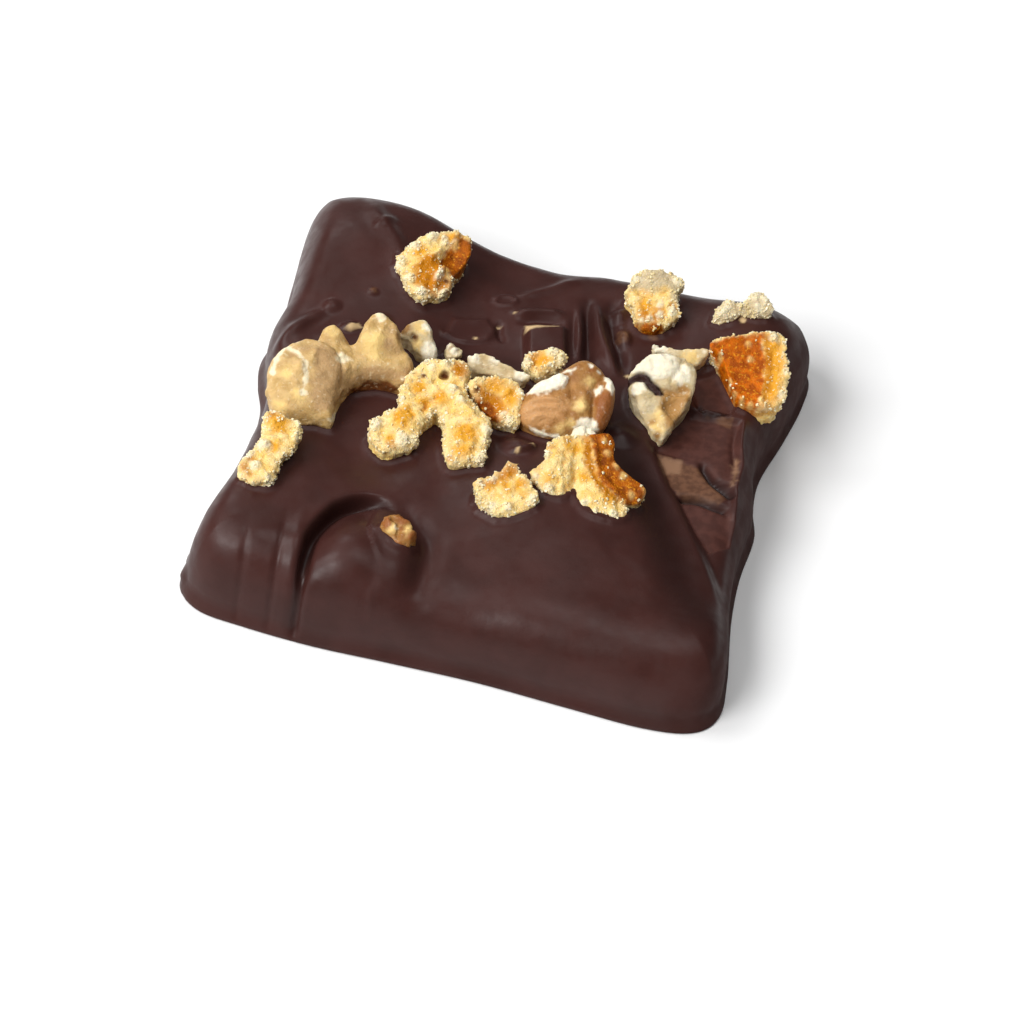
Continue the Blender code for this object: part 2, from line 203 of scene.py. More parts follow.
# %% Folds behind the middle
LEFT_HOLLOW = [3.9, 24.6, 5, 19.5, 6.2, 13.3, 6.9, 9.8]
RIGHT_HOLLOW = [6.7, 25.4, 7.9, 19.5, 9.6, 15.7, 11.1, 10.7]

DRAPES = [
    (fold, [2.6, 22.6, 3.8, 16.2, 4.8, 11], 0.5, -0.4, 0.5),
    (fold, [3.2, 23, 4.5, 16.4, 5.5, 11], 0.45, 0.45, 0.5),
    (fold, LEFT_HOLLOW, 0.8, -1, 0.35),
    (fold, [4.8, 24.6, 6.4, 18.1, 9, 13.2, 10.6, 10.6], 0.7, 0.9),
    (fold, RIGHT_HOLLOW, 0.7, -0.8),
    (fold, [-4.8, 20.4, -0.4, 24, 1.2, 25.8, 2.8, 28], 0.7, 0.45),
    (fold, [-4.4, 17.4, -1, 19.1, 2.4, 20], 0.55, 0.7),
    (fold, [-3.6, 16.4, -0.6, 17.7, 2.6, 18.3], 0.5, -0.5),
]

# %% Coated crumbs
BOX = [-1.9, 15.4, 2.6, 16.9, 3.7, 12, -0.8, 10.4]
FILM = [-10.6, 14.6, -6.8, 16, -5.3, 14.6, -6, 12.9, -8.4, 11.5, -11, 11.5]
FILM_RIM = [-12, 13, -10.9, 11.5, -8.4, 11.4, -6, 12.8, -5.1, 14.8]
CURL = [-6.7, 19.3, -6.1, 20.3, -5, 20.7, -4.1, 20.2, -4.7, 19.3, -6.1, 18.8, -6.7, 19.3]

COATED_BITS = [
    (terrace, BOX, 1.1, 0.9),
    (terrace, FILM, 0.35, 0.8),
    (fold, FILM_RIM, 0.3, 0.35),
    (fold, CURL, 0.26, 0.28, 0.05),
    (fold, [-5.2, 16.6, -4.9, 14.5, -3.9, 12.8], 0.35, -0.5),
    (mound, (8.1, 21.7), (1.7, 1.7), 0.9),
    (mound, (9.6, 17.8), (1.3, 1.9), 0.8, 15),
    (mound, (12.6, 1.4), (2.6, 2.6), 0.8),
    (mound, (1.4, -4.9), (2.7, 2.1), 1),
    (fold, [3.4, -3.4, 2.8, -5.2, 1.2, -6.2, 0.2, -6], 0.3, 0.5),
]

# %% Near left lobes
CRESCENT = [-17.3, -33.4, -17.7, -31, -17.9, -27.6, -17.4, -24.4, -16, -21, -14, -19, -11.6, -18.4, -9, -19.6]
FAR_BANK = [-11.5, -18.8, -7.6, -19.8, -5.2, -23, -4.6, -28, -6.2, -33]

LOBES = [
    (scarp, CRESCENT, 2.1, 1.1, 3.4),
    (fold, CRESCENT, 0.5, -1, 0.22),
    (fold, FAR_BANK, 1.8, -1.3),
    (mound, (-13.6, -27.6), (4.6, 7.4), 1, -8),
    (mound, (-8.6, -23.6), (4, 3.6), 0.6),
    (fold, [-19.7, -22, -19.3, -28, -18.8, -34], 0.8, 0.2, 0.6),
    (fold, [-10, -30.6, -8.8, -33, -7.6, -36], 0.4, 0.4),
]

# %% Chipped right-hand side
LONG_FOLD = [30, -22, 27.4, -16.6, 24.4, -11.3, 21, -5.6, 18, -1.2, 15.9, 2.4, 14.2, 7]
SHOULDER = [24, -26, 21.4, -17, 18.4, -11, 15.6, -6.4, 12.8, -1.6]
FAR_CHIP = [18.4, 13.4, 22.7, 17, 24.8, 11, 24.4, 9.9, 20.4, 9.5]
LONG_CHIP = [16.8, 1.4, 20, 0.9, 23, 0.3, 24.4, -1.2, 26.6, -1.4, 26.9, 2.4, 26.2, 5.4, 25.8, 8.9, 21.6, 8.6,
             19.6, 8.8, 17.4, 5]
TOFFEE_CHIP = [16.9, 1, 20, 0.7, 22.8, 0.2, 24, -1.5, 26.4, -2.7, 25.6, -4.1, 21.6, -4.7, 20, -3.7]
NEAR_CHIP = [20.6, -4.7, 26.6, -4.6, 27.8, -6, 27.9, -9.8, 25.8, -12, 23.6, -9.4]
CHIP_SEAMS = [[20, 10.2, 21.6, 8.9, 24.4, 9.7], [22.2, 1.4, 23.4, -0.2, 24.8, -1.6, 27.6, -3.1],
              [20.6, -4.9, 23.2, -4.4, 25, -4.8, 27, -5]]

CHIP_SLOPES = [
    (mound, (7, -13), (14, 14), 1, -40),
    (scarp, LONG_FOLD, 1.1, 1.8, 9, 0.2),
    (scarp, SHOULDER, 1.3, 6.5, 14, 0.25),
]
CHIP_FACETS = [
    (FAR_CHIP, (21.8, 12.5), 9.6, (-0.04, 0.07)),
    (LONG_CHIP, (22.6, 4.4), 9.1, (0.09, -0.03)),
    (TOFFEE_CHIP, (21.8, -1.6), 8.8, (0.05, 0.1), 0.4),
    (NEAR_CHIP, (25, -7.4), 8.2, (0.05, 0.09)),
]
CHIP_FOLDS = [
    (fold, CHIP_SEAMS[0], 0.3, -0.45, 0.15),
    (fold, CHIP_SEAMS[1], 0.45, -0.9, 0.15),
    (fold, CHIP_SEAMS[2], 0.42, -0.9, 0.15),
    (fold, [26, 11.5, 26.5, 5.2, 27.3, 2.3, 27.2, -1.4, 27.8, -5, 28, -10.5], 0.6, 1.1),
    (fold, [25.4, 8.6, 25.6, 5, 26.2, 2.2, 26, 0.2], 0.4, -0.35),
]

# %% Ridges near the rim
RIM_FOLDS = [
    (fold, [-32, 1, -29.6, 4.2, -27.3, 7.4, -24.4, 11], 0.8, 0.7),
    (fold, [-31, -1.5, -28.6, 1.6, -26, 4, -23, 7], 1.3, -0.6),
    (mound, (-24.8, 10.7), (1.5, 1.3), 0.6),
    (mound, (-22, 8.4), (1.6, 1), 0.7, 25),
    (mound, (-20.7, 14), (0.9, 0.7), 0.4),
    (mound, (-18.4, 10.6), (1.5, 1.3), 0.7),
    (fold, [-24.4, 30.5, -23.6, 26.8, -21.7, 24.3, -19.1, 20.6, -17.4, 15], 1.2, 0.6),
    (fold, [-23.4, 23, -22.4, 24.2, -20.6, 26.6], 0.6, 0.35),
]

# %% Height of the whole top
TOP_HEIGHT = 10.0


def built_up(z, x, y, forms):
    for form, *measures in forms:
        z = z + form(x, y, *measures)
    return z


def top_surface(x, y):
    z = np.full(x.shape, TOP_HEIGHT)
    z = built_up(z, x, y, LARGE_FORMS + DRAPES + COATED_BITS + LOBES + RIM_FOLDS + CHIP_SLOPES)
    for chip in CHIP_FACETS:
        z = facet(z, x, y, *chip)
    return built_up(z, x, y, CHIP_FOLDS)


# %% [markdown]
# ## Toppings as fields
# A broken nut is easier to describe by a rule than by faces. Each topping here is a field: a number at every
# point in space, negative inside the piece and positive outside. Fields can be blended like soft clay, cut,
# and roughened, and one routine turns any of them into a mesh.

# %% Blend and trim
def blend(first, second, width):
    """The union of two fields, with a soft seam."""
    share = np.clip(0.5 + 0.5 * (second - first) / width, 0.0, 1.0)
    return second + (first - second) * share - width * share * (1.0 - share)


def trim(first, second, width):
    """The part that lies inside both fields, with a soft edge."""
    return -blend(-first, -second, width)


# %% [markdown]
# The next routine finds the skin of a field. It lays a fine lattice over the piece, puts one point in every
# cell that the surface crosses, and joins the points of neighbouring cells with four-sided faces.

# %% Mesh a field
def skin(name, field, low, high, step):
    axes = [np.arange(start, stop + step, step) for start, stop in zip(low, high)]
    value = field(*np.meshgrid(*axes, indexing="ij"))
    cells = np.array(value.shape) - 1

    def corner(offset):
        return value[tuple(slice(move, move + size) for move, size in zip(offset, cells))]

    places = np.zeros((*cells, 3))
    crossings = np.zeros(cells)
    for axis in range(3):
        unit = np.eye(3, dtype=int)[axis]
        for offset in (offset for offset in np.ndindex(2, 2, 2) if not offset[axis]):
            start, end = corner(offset), corner(offset + unit)
            crossed = (start < 0) != (end < 0)
            share = np.where(crossed, start / np.where(crossed, start - end, 1.0), 0.0)
            places += crossed[..., None] * (np.array(offset) + share[..., None] * unit)
            crossings += crossed
    used = crossings > 0
    number = np.full(cells, -1)
    number[used] = np.arange(used.sum())
    points = np.argwhere(used) + places[used] / crossings[used][:, None]
    faces = []
    for axis in range(3):
        first, second = np.eye(3, dtype=int)[(axis + 1) % 3], np.eye(3, dtype=int)[(axis + 2) % 3]
        inner = tuple(slice(0 if side == axis else 1, size) for side, size in enumerate(cells))
        unit = np.eye(3, dtype=int)[axis]
        start = value[tuple(slice(part.start, part.stop) for part in inner)]
        end = value[tuple(slice(part.start + move, part.stop + move) for part, move in zip(inner, unit))]
        for rising in (True, False):
            at = np.argwhere((start < 0) & (end >= 0) if rising else (start >= 0) & (end < 0))
            at = at + [part.start for part in inner]
            ring = [at - first - second, at - second, at, at - first]
            ring = ring if rising else ring[::-1]
            faces.append(np.column_stack([number[tuple(cell.T)] for cell in ring]))
    mesh = bpy.data.meshes.new(name)
    mesh.from_pydata((np.array(low) + points * step) * MM, [], np.vstack(faces).tolist())
    mesh.update()
    return mesh


# %% Put an object in the scene
def in_scene(name, data):
    thing = bpy.data.objects.new(name, data)
    bpy.context.scene.collection.objects.link(thing)
    return thing


# %% Read and write a mesh as arrays
def finished_mesh(piece, name):
    """The mesh of an object with its modifiers applied. The object itself is removed."""
    mesh = bpy.data.meshes.new_from_object(piece.evaluated_get(bpy.context.evaluated_depsgraph_get()))
    mesh.name = name
    bpy.data.objects.remove(piece)
    return mesh


def points_of(mesh):
    flat = np.empty(len(mesh.vertices) * 3)
    mesh.vertices.foreach_get("co", flat)
    return flat.reshape(-1, 3) * PER_MM


def normals_of(mesh):
    flat = np.empty(len(mesh.vertices) * 3)
    mesh.vertex_normals.foreach_get("vector", flat)
    return flat.reshape(-1, 3)


def set_points(mesh, points):
    mesh.vertices.foreach_set("co", (points * MM).ravel())
    mesh.update()


def set_mask(mesh, name, values):
    """Keeps a value from 0 to 1 at each point, for the material to read."""
    mask = mesh.attributes.new(name, "FLOAT", "POINT")
    mask.data.foreach_set("value", np.clip(values, 0.0, 1.0).astype(np.float32))


# %% [markdown]
# ## Describing a topping
# Every topping is one or two slabs. A slab is an outline seen from above, drawn as a smooth curve through its
# points, and a lid: a tilted plane that swells up from the outline, with mounds, folds and terraces on it.
# Clumps are lumps of sugar. The colour words are paint: places to colour. Some of it is painted shade: most
# of the darker brown marks, and the tan on the bone's front and in the arrowhead's hollow. A clump or a round
# spot of paint is (x, y, radius), and any other place is an outline.

# %% Walnut pieces
WALNUTS = {
    "walnut_bone": dict(slabs=[
        dict(outline=[-26.6, -1, -24.8, -0.1, -22.8, -0.4, -21.2, -1.7, -20.2, -4.2, -20, -7.2, -19.9, -9.2,
            -21.6, -9.4, -23.8, -9.9, -26, -9.6, -28, -8, -28.8, -5.2, -28.3, -2.8],
            centre=(-24.4, -4.8, 14.7), slope=(-0.06, 0.32), swell=(2, 3.6), edge=0.8,
            folds=[([-28.4, -5.4, -26.8, -4.4, -25.2, -4.6, -24.6, -6.4], 0.45, 0.28, 0.1), ([-27.2, -1.9,
            -25.2, -2.6, -23.4, -2.2], 0.5, 0.25), ([-27.8, -7.6, -26.2, -7, -25, -8.2], 0.4, -0.25)]),
        dict(outline=[-24.3, 0.4, -24.1, 2.2, -22.9, 3, -21.4, 2.4, -20.2, 1.6, -19.9, 3.2, -19.3, 4.9,
            -17.6, 5.5, -15.7, 4.8, -14.5, 3, -13, 2, -12.4, 0.4, -13, -1.2, -15.2, -1.2, -17.2, -1.8,
            -19.2, -3.2, -21.4, -4.8, -23.8, -3],
            centre=(-17.5, 0.6, 14.2), slope=(-0.07, 0.3), swell=(1.5, 1.3), edge=0.8,
            terraces=[([-19.8, 1.2, -19.8, 3.6, -19.2, 5.8, -16.6, 5.8, -14.8, 4.2, -14.9, 2, -17.2, 0.4],
            1.3, 1.8), ([-24.2, 0.8, -24, 2.8, -22.4, 3.2, -21.2, 1.7, -22.2, 0.4], 0.7, 1.2)],
            folds=[([-21.4, 2.4, -20.4, 0.9, -18.6, 0.3, -16.6, 0.6, -14.4, 0.9], 0.45, -0.3)])],
        lumps=(0.2, 0.16, 0.08), weave=1.1, blend=2.4,
        pale=[[-21.4, -2.3, -21.2, -0.8, -19.9, -1.3, -20.3, -2.4], (-28, -6.8, 0.4), (-19.8, -10.4, 0.5),
            (-13.6, -1.6, 0.4), (-26.6, -1.9, 0.5), (-18, 4.4, 0.7), [-28.6, -5, -27.2, -2.4, -27.6, -4.6,
            -28, -7.2], [-27.6, -3, -25.6, -3.1, -24.2, -4.2, -23.9, -6.2, -23.6, -8.4, -24, -8.4,
            -24.3, -6.2, -24.6, -4.6, -25.7, -3.6, -27.6, -3.5]],
        gold=[(-26.4, -6.2, 0.8), (-24.2, -8.4, 0.7), (-22.8, 1.6, 0.8), (-17.7, 1.2, 1.4),
            (-26, -10.6, 0.7)],
        # The tan below is partly the nut's colour and partly painted shade on the front of the head and arm;
        # the darker brown is painted shade under the arm and on the right of the knob, and partly brown skin.
        tan=[[-24, -1.4, -22, -1.2, -19.8, -3, -17.4, -1, -13.2, -0.4, -12, -1.8, -15.4, -2.6, -18.6, -4.4,
            -20, -8.8, -22.4, -10, -23.4, -6.4], (-16.2, 3.2, 0.5)],
        deep=[[-19.4, -4.9, -17.6, -3.4, -15.6, -2.5, -14, -2.6, -14, -4.2, -19, -6.4], (-15.4, 3, 0.4)]),
    "walnut_chip": dict(slabs=[
        dict(outline=[-16.1, 7.1, -15, 8.3, -13.4, 9, -12.2, 8, -10.8, 5.7, -11.6, 4.7, -12.8, 4.9,
            -14.6, 6.5],
            centre=(-13.3, 6.6, 12.6), slope=(-0.1, 0.4), swell=(0.3, 0.6), edge=0.4,
            mounds=[((-14, 6.7), (0.5, 0.4), -0.6), ((-11.8, 5.8), (1.2, 1.4), 0.4)])],
        lumps=(0.25, 0.14, 0.07), weave=0.7,
        pale=[(-11.6, 5.9, 1.1), (-12.8, 8.3, 0.6)],
        gold=[(-13.6, 7.8, 0.9), (-13.4, 6, 0.6)],
        tan=[(-15.3, 7.4, 0.7)],
        # The darker brown is painted shade in the dent and at the left tip.
        deep=[(-14, 6.7, 0.4), (-15.9, 7.1, 0.3)]),
    "walnut_flake": dict(slabs=[
        dict(outline=[-7.2, 5.5, -6.4, 6.2, -5.1, 6.4, -2.8, 5.9, 0.5, 5.4, -0.3, 4.8, -2.6, 4.6, -6, 4.5],
            centre=(-3.6, 5.1, 12.2), slope=(0, 0.8), edge=0.35,
            folds=[([-6.4, 5.7, -4, 5.5, -1, 5.1], 0.2, -0.25), ([-5.6, 5.1, -3.4, 5, -1.6, 4.9], 0.2,
            -0.2)])],
        lumps=(0.08, 0.08, 0.05), weave=0.5,
        pale=[(-6.6, 5.8, 0.6), (-4, 5.9, 0.5), (-0.6, 5.1, 0.8)]),
    "walnut_brown": dict(slabs=[
        dict(outline=[0.4, -1.4, 0.4, 0.6, 1.4, 2.2, 3.4, 4, 4.6, 5.4, 6, 6.6, 7.4, 6.5, 9.2, 5.6,
            10.6, 4.6, 11.1, 2.4, 10.9, 0.4, 10.2, -0.9, 8, -1.5, 5.6, -2.6, 3, -2.8, 1.2, -2.2],
            centre=(5.8, 2.3, 14.3), slope=(0, 0.34), swell=(1.2, 1.4), edge=0.4,
            mounds=[((5, 2), (6, 5), 0.8, 20), ((7, 5.4), (3.4, 2.6), 0.5), ((10.2, 2.4), (1.6, 3.4), 0.7)],
            folds=[([8.2, 4.4, 8.5, 2.8, 8.7, 1, 9.3, -1.2], 0.35, -0.5, 0.2), ([5.2, 4, 5.8, 2.2, 6.3, 0.2,
            6.2, -1.8], 0.5, -0.25, 0.2), ([7.8, 3.4, 7.4, 1.4, 8, -0.4], 0.4, 0.25, 0.2), ([0.9, -0.8,
            3, 0, 5.8, 0.2], 0.26, 0.4, 0.2), ([1.2, -1.6, 3.4, -0.8, 5.6, -0.5], 0.3, 0.3, 0.2),
            ([1.8, -2.4, 3.6, -1.7, 5.2, -1.7], 0.24, 0.35, 0.2)],
            terraces=[([1.1, 0.8, 1.3, 2, 2.5, 2.8, 4.1, 3.6, 5, 3.2, 4.9, 2, 3.7, 1.2, 2.3, 0.5], 0.35,
            0.35), ([9, 4.8, 9.9, 5.2, 10.7, 3.8, 10.4, 2.8, 9.7, 3.4], 0.3, 0.35), ([8.2, 2.9, 8.6, 3.7,
            9.2, 3.6, 9.1, 2.6], 0.3, 0.3)])],
        lumps=(0.14, 0.1, 0.06), weave=0.9,
        pale=[[1, 0.7, 1.2, 2, 2.5, 2.8, 4.1, 3.7, 5, 3.2, 5, 2, 3.7, 1.2, 2.3, 0.4], [4.1, 3.9, 4.7, 4.5,
            5.5, 4.4, 5.3, 3.9], [9, 4.8, 9.9, 5.1, 10.6, 3.8, 10.5, 2.8, 9.7, 3.4], [8.3, 2.9, 8.6, 3.7,
            9.2, 3.6, 9.1, 2.6, 8.6, 2.3], (7.4, 5.5, 0.35), (8.3, 5, 0.3), [7.2, -2.1, 7.3, -1, 8.2, -0.6,
            9.5, -0.7, 10, -1.6, 9, -2.6, 7.7, -2.8], [2.2, -3.6, 3.1, -4.3, 4.3, -4.5, 5.8, -4.2,
            5.6, -3.5, 4.2, -3.7, 3, -3.3]],
        tan=[[0.4, -1.4, 1.9, 0.5, 4.7, 1, 6.1, 0.4, 5.8, -0.8, 4.2, -2.9, 2.3, -3.3, 0.8, -2.8]],
        gold=[(7.3, 0.3, 0.7), (6.8, -1.8, 0.7), (5.6, -2.8, 0.7), (7.6, 3.4, 0.4)],
        # The darker brown is painted shade down the right side, away from the light.
        deep=[[8.7, 2, 9.4, 2.8, 10.5, 2.8, 11.5, 2, 11.5, -1.4, 10.3, -2.2, 9.5, -0.6], (7.6, 5, 0.4)]),
    "walnut_arrow": dict(slabs=[
        dict(outline=[11.8, 8.4, 12.6, 10.6, 14, 11.8, 16.4, 12.2, 18.4, 11.9, 19.4, 10.6, 19.4, 7.8,
            18.6, 5.6, 17.9, 3.1, 17.2, 2.1, 16, 2.4, 14.6, 4, 12.8, 6],
            centre=(15.9, 7.6, 13), slope=(0, 0.36), swell=(0.5, 1), edge=0.3,
            mounds=[((15.8, 10.2), (4.4, 3.2), 0.9), ((13.8, 6), (1.8, 2.8), 0.6), ((17.6, 6), (1.8, 2.2),
            -0.9)],
            folds=[([15.4, 7.4, 17.1, 7.8, 19.2, 8.2], 0.35, -0.7), ([11, 7.4, 12.4, 8.3, 13.4, 8.5,
            14.4, 7.9, 15.9, 7.1], 0.55, -0.9, 0.1), ([10.8, 7.3, 12.4, 8.3, 13.4, 8.5, 14.4, 7.9, 16.1, 7],
            0.24, 1, 0.1), ([17.6, 12, 17, 9.4, 16.2, 8.4], 0.4, -0.35), ([13.4, 11.4, 14.6, 9.6], 0.4,
            -0.3)])],
        lumps=(0.2, 0.16, 0.07), weave=0.8,
        pale=[(14.8, 10.4, 2), (17.6, 9.8, 1.2), (13.2, 6.8, 0.9), (12.6, 9.6, 0.9)],
        gold=[(16.6, 4.4, 1), (16.2, 3, 0.8)],
        # The tan is painted shade in the hollow at the right; the darker brown spot is painted shade in the
        # crack.
        tan=[[15.4, 7.2, 17, 8, 19.2, 7.9, 19.4, 7, 18.8, 5.3, 18.1, 3.3, 17.1, 3.5, 16.2, 5.3]],
        deep=[(12.8, 5.9, 0.25)],
        coated=[([11.2, 7.4, 12.4, 8.3, 13.4, 8.5, 14.4, 7.9, 15.7, 7.2], 0.36)]),
    "walnut_sliver": dict(slabs=[
        dict(outline=[13.3, 15.3, 14, 15.8, 16.8, 15.8, 19.9, 16.6, 19.8, 15.6, 18.6, 14.5, 16.8, 15,
            14.6, 15.1],
            centre=(16.9, 15.3, 12.2), slope=(0, 0.7), edge=0.3)],
        lumps=(0.06, 0.07, 0.04), weave=0.5,
        pale=[(14.2, 15.6, 0.9), (19.4, 16.1, 0.4)],
        gold=[(18.2, 15.3, 0.9)]),
}

# %% Candied peel at the left
PEELS_LEFT = {
    "peel_left": dict(slabs=[
        dict(outline=[-26.6, -11.5, -27.1, -12.8, -26.7, -15.3, -27.1, -17.2, -28, -19.6, -27.8, -21.2,
            -26.2, -22.2, -24.6, -21.6, -23.8, -20.6, -23.7, -18.4, -22.7, -15.8, -22.8, -12.6, -24.6, -12],
            centre=(-25.1, -17.6, 12.7), slope=(0, 0.13), swell=(0.4, 0.6), edge=0.25,
            mounds=[((-25.4, -13.4), (2.2, 2.2), 0.4)])],
        clumps=[(-26, -16.9, 0.8), (-26.2, -19.9, 0.7), (-27.4, -18.3, 0.5), (-22.8, -14.5, 0.6),
            (-23, -12.5, 0.6), (-24.2, -21.3, 0.5), (-25.8, -22.6, 0.45)],
        gold=[[-26.8, -12.1, -26.6, -14, -25.6, -14.8, -24.2, -14.2, -24, -12.6, -25.6, -12.2],
            (-24.8, -16.6, 0.7)],
        amber=[(-27.4, -20.7, 0.6), (-26.8, -19.2, 0.4), (-26.2, -12.6, 0.5), (-26.6, -21.5, 0.3)]),
    "peel_wishbone": dict(slabs=[
        dict(outline=[-12.4, 0.7, -10.2, 2.1, -7.2, 2.8, -6.2, 1.6, -6.1, -0.8, -4, -2.9, -2, -4.8,
            -1.9, -7, -1.7, -9.8, -3.6, -10.4, -5.2, -11.2, -6.3, -9.7, -7.3, -6.1, -8.6, -4.7, -9.8, -7,
            -9.7, -9.4, -10.9, -10.5, -13.2, -11.6, -15.7, -9.3, -14.2, -6.1, -12.9, -5.6, -13.4, -3.1],
            centre=(-8.7, -5.3, 12.9), slope=(0, 0.22), swell=(0.45, 0.8), edge=0.3,
            mounds=[((-4.4, -7), (2.6, 4), 0.5), ((-12.2, -7.6), (2.4, 3.2), 0.5), ((-9.4, 1), (3.2, 1.4),
            0.5), ((-8.9, -0.1), (0.75, 0.5), -1.6), ((-11.2, -0.7), (0.8, 0.3), -0.7)],
            folds=[([-9, -1.6, -7.4, -1.5, -6, -3, -4, -5], 0.6, 0.5), ([-8.6, -2.9, -9.7, -4, -10.2, -5.6],
            0.4, -0.7), ([-10.4, -0.9, -8, -0.9, -6.6, -0.2], 0.4, -0.5)])],
        clumps=[(-15, -8.8, 0.8), (-11.4, -9.8, 0.8), (-10, -9.2, 0.5), (-8.9, -5.6, 0.5), (-2.4, -6, 0.7),
            (-2.1, -7.3, 0.5), (-2.1, -9.5, 0.6), (-7.6, -1.7, 0.6), (-10.6, 0.4, 0.5), (-6.4, -2.9, 0.5),
            (-9.2, 1.5, 0.6)],
        gold=[(-10.1, -4.2, 0.8), (-11.2, -2.2, 0.9), (-4.6, -7.2, 1.3), (-4.4, -9.4, 1),
            (-11.9, -6.8, 1.3), (-12.8, -10.2, 0.7), (-8.8, -3, 0.8)],
        amber=[[-8.1, 2, -6.8, 2.5, -6.2, 1, -7.1, 0.2, -8.1, 0.8], (-12.6, -11, 0.4), (-10.1, -4.9, 0.35),
            (-5.4, -10.8, 0.35)],
        # The darker brown is painted shade in the two holes.
        deep=[(-8.9, -0.1, 0.5), (-11.2, -0.7, 0.3)]),
    "peel_wedge": dict(slabs=[
        dict(outline=[-6, 0.2, -4.4, 1.5, -2, 1.9, 0.1, 1.6, 0.5, 0, 0.8, -2.6, -0.4, -2.9, -2.4, -2.6,
            -4, -1.7],
            centre=(-2, -0.6, 13), slope=(-0.08, 0.4), swell=(0.2, 0.5), edge=0.25,
            mounds=[((-2.9, -1), (2.2, 2), -0.9), ((0.1, -0.6), (0.9, 2.4), 0.3)],
            folds=[([-6, 0.4, -3, 1.5, 0.2, 1.4], 0.4, 0.4)])],
        clumps=[(-0.3, -2.5, 0.5), (0.2, 0.9, 0.45), (-1.2, -2.1, 0.3)],
        rind=[[-4.4, -1.4, -3, -1.6, -2, -2.2, -1.4, -3.6, -3, -3.4, -4.6, -2.2]],
        amber=[[-5, 0.2, -3.2, 0.2, -2, -0.4, -1, -1.8, -0.9, -3.4, -2.4, -3.4, -4.4, -2.4, -5.4, -0.6]],
        gold=[(-3, 0.9, 1.2), (-0.8, 0, 1.2)],
        deep=[(-4.9, -0.3, 0.3)]),
    "peel_nub": dict(slabs=[
        dict(outline=[-0.8, 7.2, -0.6, 8.4, 0.8, 9, 2.6, 9.8, 4, 9, 2.9, 7.5, 1.4, 6.3, 0.2, 6.6],
            centre=(1.6, 8, 12.9), slope=(0, 0.45), swell=(0.3, 0.5), edge=0.4,
            mounds=[((0.7, 7.7), (1.1, 1.1), -0.4)])],
        clumps=[(-0.3, 7.2, 0.5), (2.6, 9, 0.6), (3.4, 8.6, 0.5), (2, 8.9, 0.4)],
        gold=[(0.9, 7.6, 1.2)],
        amber=[(0.2, 8.2, 0.5), (0.4, 7.4, 0.4)]),
    "peel_corner": dict(slabs=[
        dict(outline=[-19.2, 18.2, -18.2, 20.6, -16.2, 22.8, -13.4, 24.1, -11.3, 23.6, -10.6, 21.8,
            -11.6, 18.8, -11.9, 16.2, -13.4, 15.2, -15.1, 14.2, -16.8, 15.4],
            centre=(-14.8, 19.8, 14), slope=(0, 0.26), swell=(0.4, 0.8), edge=0.3,
            mounds=[((-16.6, 19.8), (2.6, 3.4), 0.6), ((-12.2, 20.4), (2.2, 2.8), -1.2), ((-13.4, 16.4),
            (1.9, 1.7), -1)],
            folds=[([-13.8, 15.8, -13.5, 17.4, -12.9, 18.3], 0.45, 1.1), ([-15.2, 18.6, -14.6, 19.8,
            -14, 21], 0.35, 0.6), ([-16.6, 21.6, -14.4, 22.6, -12, 23.2], 0.5, 0.5)])],
        clumps=[(-18.6, 18.1, 0.7), (-17.4, 20.3, 0.7), (-15.6, 22.2, 0.6), (-16.9, 16.2, 0.6),
            (-15, 14.7, 0.6), (-12.5, 15.7, 0.5), (-14, 22.2, 0.5), (-12.8, 22.2, 0.45),
            (-13.5, 17.2, 0.45)],
        rind=[[-13.9, 19, -13.3, 21.9, -12.2, 23.4, -10.6, 22.8, -10, 20.3, -10.8, 18.2, -11.5, 17,
            -12.9, 18.4]],
        amber=[[-16.8, 17.6, -15.8, 19.4, -14, 19.6, -12.6, 17.4, -11.2, 17, -11.6, 15, -13, 14,
            -14.4, 14.6, -16, 15.6], (-12.6, 23.2, 0.5)],
        gold=[(-16.6, 19.6, 1), (-13.4, 22.6, 0.8)],
        deep=[(-12.6, 16.9, 0.35)]),
}

